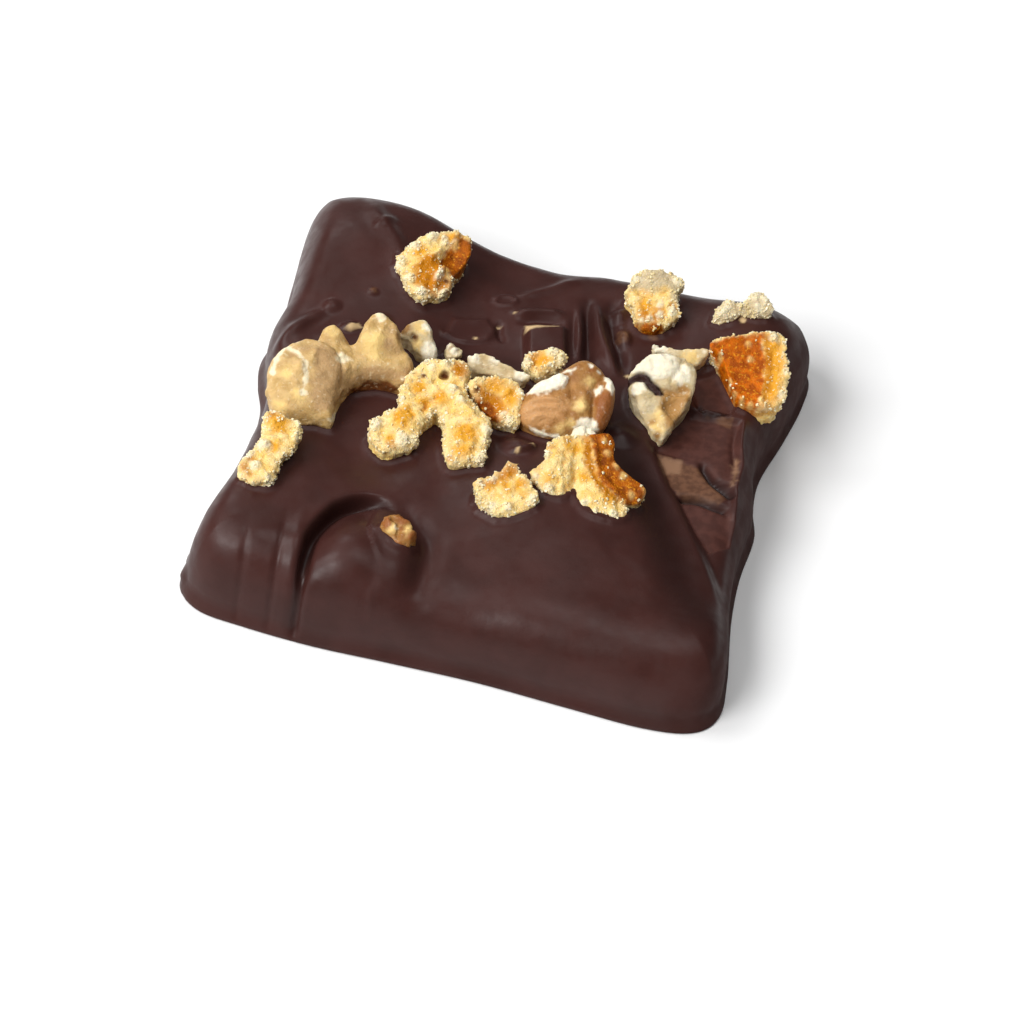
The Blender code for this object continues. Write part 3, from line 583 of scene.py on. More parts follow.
# %% Candied peel behind, at the right and in front
PEELS_RIGHT = {
    "peel_back": dict(slabs=[
        dict(outline=[8.4, 23.4, 9, 25.6, 10.6, 26.6, 13, 27.3, 15, 26.3, 14.4, 24.5, 15.4, 22.2,
            13.8, 20.1, 12.6, 19.3, 11, 19.5, 9.6, 21.8],
            centre=(12, 23, 12.8), slope=(0, 0.36), swell=(0.3, 0.6), edge=0.3,
            mounds=[((11.6, 25.6), (3.2, 1.8), 0.6)],
            folds=[([9, 24, 11.2, 23.6, 13.8, 24.4], 0.4, -0.4)])],
        clumps=[(12.9, 22.4, 0.4), (13.1, 21.3, 0.4), (11.2, 19.9, 0.4), (14.6, 21.9, 0.5), (14.3, 26, 0.6),
            (9.3, 25.2, 0.6), (12, 20.4, 0.35)],
        rind=[[10.6, 18.8, 10.9, 19.8, 12.2, 20, 13.6, 20, 14.2, 19, 12.8, 17.8, 11, 17.8]],
        amber=[(11.2, 20.6, 0.9), (12.8, 21.2, 0.8), (14.4, 22.6, 0.5)],
        gold=[(11.2, 21.6, 1), (13, 21.8, 0.7)],
        chalky=[[8, 23.6, 11.2, 23.9, 13.6, 24.6, 14.4, 22.9, 16, 24, 15.4, 28, 9, 27.4]]),
    "sugared_crumbs": dict(slabs=[
        dict(outline=[19.6, 23.2, 19.8, 25.3, 20.9, 26, 22.4, 26, 23.4, 27.7, 24.6, 27.9, 26.4, 26.4,
            25, 25.3, 22.6, 25, 21.8, 23.8],
            centre=(22.8, 25.3, 12.8), slope=(0, 0.4), swell=(0.5, 0.7), edge=0.4)],
        clumps=[(20.5, 24.2, 0.6), (21, 25.4, 0.6), (22.4, 25.5, 0.5), (23.8, 27, 0.7), (25, 26.8, 0.6),
            (24.4, 25.8, 0.5)],
        chalky=[(22.8, 25.3, 5)]),
    "peel_right": dict(slabs=[
        dict(outline=[19.9, 16.6, 22.4, 18.1, 25.4, 19.6, 28.1, 20, 29.2, 17.4, 29.9, 14.8, 29.9, 12.2,
            29, 10.9, 26.8, 10.3, 24.6, 10.9, 22.9, 13.2, 21.6, 15.2],
            centre=(25.6, 14.6, 13), slope=(-0.05, 0.34), edge=0.35,
            mounds=[((25, 14.4), (3.2, 4.4), -0.4)],
            folds=[([20.4, 16.4, 22.6, 13.4, 24.2, 10.2], 0.35, 0.3), ([20.6, 16.9, 24.4, 18.9, 28, 19.7],
            0.4, 0.3), ([28.4, 19, 29.3, 15.4, 28.8, 11], 0.6, 0.3)])],
        sink=2.8,
        clumps=[(21.4, 15.4, 0.3), (23.3, 12.7, 0.35), (24.2, 11.2, 0.25), (25.2, 10.7, 0.3),
            (26.4, 10.3, 0.3), (24.4, 17.9, 0.3), (27.2, 19.2, 0.5), (25, 16.1, 0.3), (29.5, 15.4, 0.35),
            (27.2, 9.6, 0.35), (28.4, 10, 0.5), (29.5, 12.6, 0.35)],
        rind=[[19.6, 16.4, 23.7, 18.4, 25.7, 19.4, 26.8, 16.4, 27.3, 12.6, 27.2, 8.6, 24.8, 7.8, 22.4, 11.2,
            20.6, 14.6]],
        gold=[[25.6, 19.4, 27.6, 19.6, 29, 17, 29.5, 12.8, 29.2, 9.6, 27.3, 8.8, 27.4, 12.3, 26.8, 16.1]],
        amber=[[25.8, 19, 26.5, 19.2, 27.9, 16, 28.3, 12.6, 28.2, 9.8, 27.3, 8.8, 27.4, 12.3, 26.8, 16.1]]),
    "peel_front": dict(slabs=[
        dict(outline=[3.9, -11.4, 4.9, -9.4, 5.2, -7, 7.4, -5.4, 9.4, -4.7, 11.4, -3.9, 12.4, -4.6,
            13, -6.6, 15, -8, 17.2, -9, 16.8, -10.8, 15.6, -11.6, 15.6, -13, 14, -14.4, 12, -14.8,
            10.4, -13.8, 9.2, -12, 7.8, -13.4, 5.8, -13],
            centre=(10.4, -9.5, 13.4), slope=(-0.1, 0.33), swell=(0.3, 0.6), edge=0.25,
            mounds=[((6.6, -9.4), (2.6, 4), 0.6), ((12.4, -12), (3.2, 2.6), 0.5)],
            folds=[([8.6, -8.2, 9, -10.2, 9.3, -12.6], 0.5, -0.6), ([10, -5, 11.2, -8.4, 13.2, -10.2,
            16, -11.6], 0.4, 0.3)])],
        clumps=[(11.2, -5, 0.35), (11.9, -6.3, 0.45), (13.2, -7.5, 0.4), (14.3, -8.4, 0.35),
            (15.6, -10.4, 0.4), (16.9, -9.4, 0.35), (6.6, -12.8, 0.6), (12.2, -14, 0.6), (14.4, -13.4, 0.5),
            (10.6, -13.4, 0.5), (4.6, -11.6, 0.4), (5.2, -9, 0.4)],
        rind=[[9.2, -4.4, 11.6, -3.2, 13, -4.6, 13.6, -6.6, 15.3, -7.8, 17.6, -9, 17, -11.6, 14.4, -11.7,
            12.4, -10.5, 11.1, -8.8, 10, -6.4]],
        amber=[[8.4, -5, 9.4, -4.4, 10.4, -7.6, 12.2, -10, 14.6, -11.2, 14.2, -12.4, 11.6, -11, 9.8, -8.8],
            (4.6, -10.4, 0.4), (5.2, -8, 0.35)],
        gold=[(8.4, -7, 0.8), (10, -10, 0.8), (7.4, -6.6, 0.6), (6, -12, 0.5), (13.4, -11.8, 0.6)]),
    "peel_middle": dict(slabs=[
        dict(outline=[-1.8, -14.8, -0.2, -13.8, 1.2, -12, 2, -11.4, 3.2, -12.6, 4.6, -13.7, 5.6, -15,
            3.8, -17.2, 0.2, -17.6],
            centre=(2, -14.4, 13.3), slope=(0, 0.4), swell=(0.2, 0.5), edge=0.22)],
        clumps=[(0.2, -14, 0.35), (-1.2, -15, 0.35), (2.6, -16.8, 0.55), (4.9, -15.2, 0.5),
            (0.6, -17.2, 0.5)],
        amber=[[-2, -15.2, 0.2, -13.6, 1.6, -11.2, 3.2, -12.4, 2.2, -13.4, 1.2, -14.2, -0.4, -15.4]],
        gold=[(1.6, -14.4, 0.8), (0, -15.4, 0.6), (3.2, -13.8, 0.7)]),
}
PEELS = {**PEELS_LEFT, **PEELS_RIGHT}

# %% [markdown]
# Three crumbs have no solid of their own: one sits in the near left lobe, half coated, one lies in front of the
# brown walnut, and one lies behind the middle.

# %% Small crumbs
CRUMBS = {
    "lobe_crumb": dict(slabs=[
        dict(outline=[-10.4, -23.6, -9.4, -22.5, -7.8, -22.6, -6.4, -23.9, -6.8, -25.2, -8.2, -25.6,
            -9.6, -24.8],
            centre=(-8.4, -24, 12.4), slope=(0, 0.3), swell=(0.6, 0.8), edge=0.4,
            folds=[([-9.8, -23.2, -8.6, -23.8, -8.2, -25.6], 0.25, -0.4), ([-8.4, -24, -6.4, -23.4], 0.25,
            -0.4)])],
        lumps=(0.3, 0.14, 0.1), weave=0.6,
        pale=[(-8.6, -24.3, 0.2)],
        gold=[(-9, -24.4, 0.5), (-7.4, -24, 0.6)],
        deep=[(-8.2, -22.8, 0.9), (-6.4, -24.6, 0.8), (-10, -23.9, 0.6), (-8.2, -26.4, 0.8),
            (-8.2, -24.2, 0.35), (-9.6, -26, 0.5)]),
    "front_crumb": dict(slabs=[
        dict(outline=[7.4, -3.9, 8.1, -3, 9.4, -3, 10.2, -3.8, 9.6, -4.9, 8, -5],
            centre=(8.8, -4, 14.2), slope=(0, 0.3), swell=(0.4, 0.6), edge=0.3)],
        lumps=(0.25, 0.15, 0.14), weave=0.4,
        pale=[(8.8, -4, 1.6)]),
    "far_crumb": dict(slabs=[
        dict(outline=[-10.2, 7.4, -9.9, 8.8, -9.3, 8.3, -8.5, 8, -8.9, 7.3, -9.6, 6.9],
            centre=(-9.6, 7.8, 11.2), slope=(0, 0.2), swell=(0.4, 0.5), edge=0.2)],
        lumps=(0.35, 0.15, 0.14), weave=0.4,
        pale=[(-9.9, 8.1, 0.35), (-9.2, 7.5, 0.3)],
        deep=[(-9.5, 7.8, 0.3)]),
}

# %% [markdown]
# Paint is laid on from above and from the front at once: the sides of a topping are unrolled in front of it
# first, so that a spot stays a spot there and doesn't run down in a streak.

# %% Paint on the toppings
def plane_height(slab, x, y):
    (x0, y0, z0), (slope_x, slope_y) = slab["centre"], slab["slope"]
    return z0 + slope_x * (x - x0) + slope_y * (y - y0)


def unrolled(points, topping):
    x, y, z = points.T
    nearest, depth = np.full(len(points), np.inf), np.zeros(len(points))
    for slab in topping["slabs"]:
        walls = from_outline(x, y, slab["outline"])
        depth = np.where(walls < nearest, np.maximum(plane_height(slab, x, y) - z, 0.0), depth)
        nearest = np.minimum(nearest, walls)
    return np.column_stack([x, y - depth, z])


def painted(points, marks, soft, ragged, seed):
    """A mask of marked places. A mark is a spot (x, y, radius) or an outline, with ragged edges."""
    x, y = points[:, 0], points[:, 1]
    tear = ragged * (swelling(points, 0.8, seed) + 0.6 * swelling(points, 0.35, seed + 1))
    mask = np.zeros(len(points))
    for mark in marks:
        if isinstance(mark, tuple):
            outside = np.hypot(x - mark[0], y - mark[1]) - mark[2]
        else:
            outside = from_outline(x, y, mark)
        mask = np.maximum(mask, smooth_step(0.5 - (outside + tear) / (2 * soft)))
    return mask


def paint_of(topping, kind, points, soft, ragged, seed):
    return painted(points, topping.get(kind, ()), soft, ragged, seed)


def start_painting(mesh, topping, paint, seed):
    """Sets the masks of a topping's paint, and gives its points, first unrolled and then as they are."""
    points = points_of(mesh)
    flat = unrolled(points, topping)
    for kind, soft, ragged in paint:
        set_mask(mesh, kind, paint_of(topping, kind, flat, soft, ragged, seed))
    print(f"{mesh.name}: {len(mesh.polygons)} faces, top at {points[:, 2].max():.1f} mm")
    return flat, points


# %% The field of one topping
SINK = 1.2
NEAR_SKIN = 1.2
WALL_LEAN = 0.12
SEAM = 0.6
FAR_OUTSIDE = 9.0
LOWEST, HIGHEST = 8.2, 17.8
FOLD_FADE = 0.15


def lid_height(slab, x, y, walls):
    z = plane_height(slab, x, y)
    rise, reach = slab.get("swell", (0.0, 1.0))
    outer = np.clip(1.0 + walls / reach, 0.0, 1.0)
    z = z - rise * (1.0 - np.sqrt(np.maximum(1.0 - outer**2, 0.0)))
    for bump in slab.get("mounds", ()):
        z = z + mound(x, y, *bump)
    for path, width, height, *fade in slab.get("folds", ()):
        z = z + fold(x, y, path, width, height, *(fade or [FOLD_FADE]))
    for outline, height, soft in slab.get("terraces", ()):
        z = z + terrace(x, y, outline, height, soft)
    return z


def solid_field(topping, x, y, z):
    flat_x, flat_y = x[:, :, :1], y[:, :, :1]
    value = np.full(x.shape, FAR_OUTSIDE)
    for slab in topping["slabs"]:
        outline = spline(slab["outline"], 3, closed=True).tolist()
        walls = from_outline(flat_x, flat_y, outline)
        lid = lid_height(slab, flat_x, flat_y, walls)
        for at_x, at_y, radius in topping.get("clumps", ()):
            lid = lid + mound(flat_x, flat_y, (at_x, at_y), (1.4 * radius, 1.4 * radius), 0.6 * radius)
        leaning = walls + WALL_LEAN * np.maximum(lid - z, 0.0)
        value = blend(value, trim(leaning, z - lid, slab["edge"]), topping.get("blend", SEAM))
    return value


def sculpted(name, topping, roughness, step):
    outline = np.vstack([np.reshape(slab["outline"], (-1, 2)) for slab in topping["slabs"]])
    low = (*(outline.min(axis=0) - 1.0), LOWEST)
    high = (*(outline.max(axis=0) + 1.0), HIGHEST)
    seed = sum(name.encode())

    def field(x, y, z):
        value = solid_field(topping, x, y, z)
        near = np.abs(value) < NEAR_SKIN
        points = np.column_stack([x[near], y[near], z[near]])
        value[near] -= roughness(topping, points, seed)
        bed = top_surface(x[:, :, :1], y[:, :, :1]) - topping.get("sink", SINK)
        return np.maximum(value, bed - z)

    return skin(name, field, low, high, step)


# %% Rough nut and crusty peel
def nut_roughness(topping, points, seed):
    big, wrinkle, grain = topping["lumps"]
    relief = big * swelling(points, 2.6, seed) + grain * swelling(points, 0.5, seed + 2)
    relief += 0.14 * swelling(points, 0.42, seed + 5) * paint_of(topping, "pale", points, 0.2, 0.3, seed)
    return relief + wrinkle * (1.0 - 2.0 * np.abs(swelling(points, 1.5 * topping["weave"], seed + 1)))


def peel_roughness(topping, points, seed):
    rind = paint_of(topping, "rind", points, 0.3, 0.2, seed)
    crust = 0.16 * np.abs(swelling(points, 1.3, seed + 1)) + 0.17 * swelling(points, 0.6, seed + 2)
    crust += 0.12 * swelling(points, 0.32, seed + 3)
    pores = 0.08 * swelling(points, 0.6, seed + 4)
    return 0.16 * swelling(points, 2.2, seed) + crust * (1.0 - rind) + pores * rind


# %% Sculpt the walnut
NUT_STEP = 0.17
NUT_PAINT = (("pale", 0.2, 0.3), ("gold", 0.7, 0.4), ("tan", 0.6, 0.4), ("deep", 0.35, 0.25))
walnuts, peels = {}, {}

for name, topping in {**WALNUTS, **CRUMBS}.items():
    seed = sum(name.encode())
    mesh = walnuts[name] = sculpted(name, topping, nut_roughness, NUT_STEP)
    flat, points = start_painting(mesh, topping, NUT_PAINT, seed)
    # Painted shade: the deeper a point lies in the roughened nut, the darker its hollow tint.
    set_mask(mesh, "hollow_shade", 0.5 - nut_roughness(topping, points, seed) / 0.4)
    coated = np.zeros(len(points))
    for path, width in topping.get("coated", ()):
        distance = np.abs(from_path(points[:, 0], points[:, 1], path)[0])
        coated = np.maximum(coated, smooth_step(2.0 - distance / width))
    set_mask(mesh, "coated", coated)

# %% Sculpt the peel
PEEL_STEP = 0.15
RIM_WIDTH = 1.2
PEEL_PAINT = (("rind", 0.3, 0.25), ("amber", 0.5, 0.35), ("gold", 0.6, 0.4), ("chalky", 0.5, 0.3),
              ("deep", 0.25, 0.1))

for name, topping in PEELS.items():
    seed = sum(name.encode())
    mesh = peels[name] = sculpted(name, topping, peel_roughness, PEEL_STEP)
    flat, points = start_painting(mesh, topping, PEEL_PAINT, seed)
    clumps = paint_of(topping, "clumps", points, 0.3, 0.25, seed)
    set_mask(mesh, "pale", clumps)
    # Painted shade: the deeper a point lies in the roughened peel, the darker its hollow tint.
    set_mask(mesh, "hollow_shade", 0.42 - peel_roughness(topping, points, seed) / 0.5)
    rind = paint_of(topping, "rind", flat, 0.35, 0.2, seed)
    x, y, z = points.T
    edge = np.max([-from_outline(x, y, slab["outline"]) for slab in topping["slabs"]], axis=0)
    rim = smooth_step(1.0 - edge / RIM_WIDTH)
    cling = 0.06 + 0.5 * swelling(points, 1.4, seed + 3) + 0.5 * clumps + 0.6 * rim
    above = z - TOP_HEIGHT
    set_mask(mesh, "rim", rim * smooth_step(above))
    set_mask(mesh, "sugar", np.clip(cling, 0.0, 1.2) * (1.0 - 0.82 * rind) * smooth_step((above - 0.4) / 0.8))

# %% [markdown]
# ## The chocolate coat
# A flat grid becomes the coat. Its inner part lies on the top, its outer part rolls down the edge to a lip,
# and a few more rings close under the foot. A grid keeps the points evenly spaced, which fine creases need.

# %% Outline of the square from above
HALF_SIDE = 32.0
LIP_HEIGHT = 1.6
EDGE_ROLL = 6.8
CRISP_ROLL = 4.8
ROLL_POWER = 2.5
ROLL_SHARE = 0.26
CRISP_SIDE = radians(165.0)
RIM_POINTS = [
    29.9, 0, 29, 4.5, 28.9, 9.6, 30.6, 17, 31.9, 24, 31.8, 29.4, 28.2, 32.7, 19.5, 32.6, 12, 32.2, 5, 31.6,
    -1, 30.6, -7, 30.7, -13, 31.7, -19, 33.2, -24.4, 34.3, -29.2, 33.5, -31.8, 30, -31.6, 23, -31, 15,
    -31.7, 9, -30.9, 4.8, -29.5, 0.6, -29.1, -6, -29.2, -13, -29.9, -19, -31.1, -25, -31, -29.3,
    -28.2, -31.9, -23, -32.6, -15, -32.9, -6, -32.5, 4, -32.2, 14, -32.6, 23, -32.9, 28.6, -31.8, 31, -28.6,
    30.9, -23, 29.7, -14, 29.4, -7,
]


def rim_radius(angle):
    rim = spline(RIM_POINTS, 12, closed=True)
    directions = np.arctan2(rim[:, 1], rim[:, 0])
    order = np.argsort(directions)
    return np.interp(angle, directions[order], np.hypot(*rim.T)[order], period=2 * pi)


# %% Where the toppings touch the coat
TOUCH = 0.25
touching = []

for mesh in (*walnuts.values(), *peels.values()):
    points = points_of(mesh)
    above = points[:, 2] - top_surface(points[:, 0], points[:, 1])
    touching.append(points[np.abs(above) < TOUCH][:, :2])
touching = np.vstack(touching)
contact_tree = KDTree(len(touching))
for index, (x, y) in enumerate(touching):
    contact_tree.insert((x, y, 0.0), index)
contact_tree.balance()
print("points where toppings meet the chocolate:", len(touching))

# %% Shape the grid
COAT_CELLS = 290
MENISCUS_HEIGHT = 0.35
MENISCUS_WIDTH = 0.45


def coat_points(u, v):
    ring = np.maximum(np.maximum(np.abs(u), np.abs(v)), 1e-9)
    angle = np.arctan2(v, u)
    flat_share = 1.0 - ROLL_SHARE
    turned = np.clip((ring - flat_share) / ROLL_SHARE, 0.0, 1.0) * pi / 2
    crisp = smooth_step((np.cos(angle - CRISP_SIDE) - 0.2) / 0.5)
    roll = (EDGE_ROLL + (CRISP_ROLL - EDGE_ROLL) * crisp) / HALF_SIDE
    inner = ring / flat_share * (1.0 - roll)
    outer = 1.0 - roll * (1.0 - np.sin(turned))
    reach = np.where(ring < flat_share, inner, outer)
    square = HALF_SIDE / np.maximum(np.abs(np.cos(angle)), np.abs(np.sin(angle)))
    scale = HALF_SIDE * reach / ring * (1.0 + (rim_radius(angle) / square - 1.0) * reach**4)
    x, y = u * scale, v * scale
    near = np.array([contact_tree.find((px, py, 0.0))[2] for px, py in zip(x, y)])
    top = top_surface(x, y) + MENISCUS_HEIGHT * np.exp(-((near / MENISCUS_WIDTH) ** 2))
    z = LIP_HEIGHT + (top - LIP_HEIGHT) * (1.0 - np.sin(turned) ** ROLL_POWER) ** (1.0 / ROLL_POWER)
    return np.column_stack([x, y, z])


# %% Make the coat
FOOT_PROFILE = [(0.18, 0.72), (0.28, 0.45), (0.20, 0.22), (-0.05, 0.07), (-0.5, 0.0)]


def coat_mesh():
    bm = bmesh.new()
    bmesh.ops.create_grid(bm, x_segments=COAT_CELLS, y_segments=COAT_CELLS, size=1.0)
    flat = np.array([vert.co[:] for vert in bm.verts])
    for vert, place in zip(bm.verts, coat_points(flat[:, 0], flat[:, 1])):
        vert.co = place * MM
    loop = [edge for edge in bm.edges if edge.is_boundary]
    outward = {}
    for outset, height in FOOT_PROFILE:
        made = bmesh.ops.extrude_edge_only(bm, edges=loop)["geom"]
        for vert in (part for part in made if isinstance(part, bmesh.types.BMVert)):
            rim = min((edge.other_vert(vert) for edge in vert.link_edges), key=lambda other: -other.co.z)
            home = outward.pop(rim, rim.co.copy())
            outward[vert] = home
            vert.co = home + Vector((*home.xy.normalized() * outset * MM, 0.0))
            vert.co.z = home.z * height
        loop = [part for part in made if isinstance(part, bmesh.types.BMEdge)]
    bmesh.ops.contextual_create(bm, geom=loop)
    bmesh.ops.recalc_face_normals(bm, faces=bm.faces)
    mesh = bpy.data.meshes.new("chocolate_coat")
    bm.to_mesh(mesh)
    bm.free()
    return mesh


coat = coat_mesh()
print("chocolate coat:", len(coat.vertices), "points")

# %% Slump and ripple the coat
FLANK_FOLDS = [
    (fold, [-16.9, -38, -17.5, -31, -17.8, -24], 0.5, -0.6, 0.45),
    (fold, [-19.9, -38, -20.6, -31, -21.4, -23], 0.4, -0.22, 0.45),
    (fold, [-18.4, -38, -19, -31, -19.6, -22], 0.6, 0.12, 0.45),
    (fold, [-23.6, -38, -24.4, -31, -25.4, -25], 0.4, -0.14, 0.45),
]
LUMP_PLACES = ((-30.5, -20.8), (-31.3, -22.6), (-31.5, -26.2), (-31.2, -28.8))
FOOT_LUMPS = [(mound, place, (1.3, 1.3), 0.5) for place in LUMP_PLACES]

points = points_of(coat)
x, y, z = points.T
raised = smooth_step(z / 1.5)
ripple = 0.16 * swelling(points, 6.0, 21) + 0.05 * swelling(points, 2.6, 22) + 0.01 * swelling(points, 0.9, 23)
ripple = built_up(ripple, x, y, FLANK_FOLDS)
ripple += built_up(np.zeros(len(points)), x, y, FOOT_LUMPS) * np.exp(-(((z - 1.4) / 1.3) ** 2))
points = points + normals_of(coat) * (ripple * raised)[:, None]
set_points(coat, points)

# %% [markdown]
# ## Masks on the coat
# The coat is thin in places. Along the chips at the right the toffee shines through as a tan colour, and the
# broken chocolate there is duller and redder than the moulded skin. A cream line of bare nut shows on the edge
# of a coated piece behind the middle. Painted shade darkens the deep creases and a band beside the long fold
# at the right, a painted highlight lies on the ridge at the right beside a patch of brighter toffee, and the
# right-hand wall is rubbed dull.

# %% Chipped and thin places
BARE_EDGES = [[-2.2, 16.3, 1.6, 17.5, 1.8, 16.4, -1.8, 14.7], [-22.4, 7.9, -21.2, 9.3, -20.7, 8.8, -21.8, 7.8],
              (-5.2, 15.5, 0.22), (-3.8, 17.9, 0.18), (-7.4, 12.3, 0.15), (22.9, 24.6, 0.4), (11.3, 11.8, 0.25),
              (3.0, -4.6, 0.2), (1.6, -6.2, 0.2)]
THIN_PLACES = [TOFFEE_CHIP, [21.9, 8.8, 24.7, 9, 24.8, 7.8], [8.8, 18.8, 9.9, 19.1, 10.2, 17.2, 9.1, 16.8],
               (12.9, 19.2, 0.4), (-20.7, 14.2, 0.4)]
# The first outline is a patch of brighter toffee; the second is a painted highlight along the ridge at the
# right.
TOFFEE_AND_HIGHLIGHT = [[17.2, 0.8, 20.2, 0.6, 20, -1.4, 18.8, -1.9],
                 [26.1, 3.2, 26.4, 3.2, 26.8, 0.6, 26.6, -1.2, 26.4, 0.8]]
# Painted shade: a band beside the long fold at the right, and the creases below with the width and strength of
# their shade.
PAINTED_SHADE_BAND = [12.6, 2, 15, -3.5, 18.5, -9, 22, -15, 26, -23]
CREASE_SHADE = [(path, 0.42, 0.85) for path in CHIP_SEAMS] + [
    (LEFT_HOLLOW, 1.0, 0.5), (RIGHT_HOLLOW, 0.8, 0.5), (CRESCENT, 0.55, 0.6)]

x, y, z = points.T
chip = painted(points, [FAR_CHIP, LONG_CHIP, TOFFEE_CHIP, NEAR_CHIP], 0.3, 0.15, 31)
set_mask(coat, "chip", chip)
set_mask(coat, "thin", painted(points, THIN_PLACES, 0.25, 0.3, 33))
# Brighter toffee and a painted highlight on the ridge at the right.
set_mask(coat, "bright", painted(points, TOFFEE_AND_HIGHLIGHT, 0.4, 0.4, 34))
# Painted shade along the band, fading out on the chips, and in the creases.
band = from_path(x, y, PAINTED_SHADE_BAND)[0]
dark = 0.7 * np.exp(-((band / 3.4) ** 2)) * (1.0 - chip)
for path, width, share in CREASE_SHADE:
    dark = np.maximum(dark, fold(x, y, path, width, share, 0.12))
set_mask(coat, "dark", dark)
set_mask(coat, "bare", painted(points, BARE_EDGES, 0.15, 0.1, 35))
steep = smooth_step((0.8 - normals_of(coat)[:, 2]) / 0.4)
set_mask(coat, "rubbed", smooth_step((x - 24.0) / 3.0) * steep)
print("share of the coat that is chipped:", round(float(chip.mean()), 3))

# %% [markdown]
# ## Shared node helpers
# Trees of nodes are long to write out, so a helper adds a node, sets it up and feeds its inputs in one call.
# Every material here is a little uneven. One node group gives that unevenness to all of them: a mask that
# varies at a chosen size, for colour, roughness and bump.

# %% Add a node
def feed(tree, socket, value):
    if isinstance(value, bpy.types.NodeSocket):
        tree.links.new(value, socket)
    else:
        socket.default_value = value


def added(tree, kind, feeds=(), **settings):
    """A new node. Feeds pairs its inputs with values, or with the outputs they are linked to."""
    node = tree.nodes.new(kind)
    for name, value in settings.items():
        setattr(node, name, value)
    for key, value in dict(feeds).items():
        feed(tree, node.inputs[key], value)
    return node


def add_inputs(tree, kind, **defaults):
    for name, value in defaults.items():
        socket = tree.interface.new_socket(name.replace("_", " "), in_out="INPUT", socket_type=kind)
        socket.default_value = value


# %% Mottle group
def mottle_group():
    tree = bpy.data.node_groups.new("mottle", "ShaderNodeTree")
    add_inputs(tree, "NodeSocketFloat", Size=2.0, Detail=4.0, Low=0.35, High=0.65)
    tree.interface.new_socket("Mask", in_out="OUTPUT", socket_type="NodeSocketFloat")
    given = added(tree, "NodeGroupInput").outputs
    place = added(tree, "ShaderNodeTexCoord").outputs["Object"]
    scale = added(tree, "ShaderNodeMath", {0: PER_MM, 1: given["Size"]}, operation="DIVIDE").outputs[0]
    noise = added(tree, "ShaderNodeTexNoise", {"Vector": place, "Scale": scale, "Detail": given["Detail"]})
    spread = added(tree, "ShaderNodeMapRange", {
        "Value": noise.outputs["Fac"], "From Min": given["Low"], "From Max": given["High"],
    }, interpolation_type="SMOOTHSTEP")
    added(tree, "NodeGroupOutput", {"Mask": spread.outputs["Result"]})
    return tree


MOTTLE = mottle_group()


# %% Materials under construction
def rgb(tint):
    """A colour given on a screen scale (0 to 255), as the linear values that a shader needs."""
    if isinstance(tint, bpy.types.NodeSocket):
        return tint
    screen = np.array(tint) / 255.0
    return (*np.where(screen <= 0.04045, screen / 12.92, ((screen + 0.055) / 1.055) ** 2.4), 1.0)


class Finish:
    """A material, its Principled shader, and methods that add nodes. Colours are sockets or screen colours."""

    def __init__(self, name):
        self.material = bpy.data.materials.new(name)
        self.material.use_nodes = True
        self.tree = self.material.node_tree
        self.shader = self.tree.nodes["Principled BSDF"]

    def shade(self, **feeds):
        for name, value in feeds.items():
            feed(self.tree, self.shader.inputs[name.replace("_", " ")], value)

    def mottle(self, size, detail=4.0, low=0.35, high=0.65):
        sizes = {"Size": size, "Detail": detail, "Low": low, "High": high}
        return added(self.tree, "ShaderNodeGroup", sizes, node_tree=MOTTLE).outputs["Mask"]

    def mask(self, name):
        return added(self.tree, "ShaderNodeAttribute", attribute_name=name).outputs["Fac"]

    def math(self, operation, *terms):
        return added(self.tree, "ShaderNodeMath", enumerate(terms), operation=operation).outputs[0]

    def mix(self, share, first, second):
        feeds = {"Factor": share, "A": rgb(first), "B": rgb(second)}
        return added(self.tree, "ShaderNodeMix", feeds, data_type="RGBA").outputs["Result"]

    def layers(self, colour, *layers):
        """Lays tints over a colour, in turn. Each has a mask, a name or a socket, and may have a strength."""
        for mask, tint, *strength in layers:
            share = self.mask(mask) if isinstance(mask, str) else mask
            if strength:
                share = self.math("MULTIPLY", share, *strength)
            colour = self.mix(share, colour, tint)
        return colour

    def bump(self, height, distance):
        feeds = {"Strength": 1.0, "Distance": distance * MM, "Height": height}
        self.shade(Normal=added(self.tree, "ShaderNodeBump", feeds).outputs["Normal"])

    def subsurface(self, weight, depth, tint):
        self.shade(Subsurface_Weight=weight, Subsurface_Scale=depth * MM, Subsurface_Radius=tint)


# %% [markdown]
# ## Dark chocolate
# Tempered chocolate is dark, a little red, and satin rather than glossy: it takes broad soft highlights. The
# skin is never quite even, so its sheen varies over a few millimetres.

# %% Chocolate material
def chocolate_finish():
    finish = Finish("dark_chocolate_skin")
    skin = finish.mix(finish.mottle(5.0, 3.0), (58, 31, 27), (64, 35, 31))
    broken = finish.mix(finish.mottle(1.2), (66, 36, 30), (78, 45, 38))
    toffee = finish.mix(finish.mottle(0.8), (84, 54, 38), (104, 70, 50))
    # Painted light in this coat: the dark layer is painted shade in creases and along a band at the right, and
    # the bright layer is brighter toffee and a painted highlight on the ridge at the right.
    colour = finish.layers(skin, ("chip", broken), ("thin", toffee), ("bright", (132, 98, 74)),
                           ("dark", (30, 13, 11)), ("bare", (205, 175, 130)))
    rough = finish.math("MULTIPLY_ADD", finish.mottle(1.6, 5.0), 0.12, 0.33)
    for mask, gain in (("chip", 0.12), ("rubbed", 0.4)):
        rough = finish.math("MULTIPLY_ADD", finish.mask(mask), gain, rough)
    finish.shade(Base_Color=colour, Roughness=rough, Specular_IOR_Level=0.2)
    finish.bump(finish.mottle(0.5, 5.0, 0.2, 0.8), 0.006)
    return finish.material


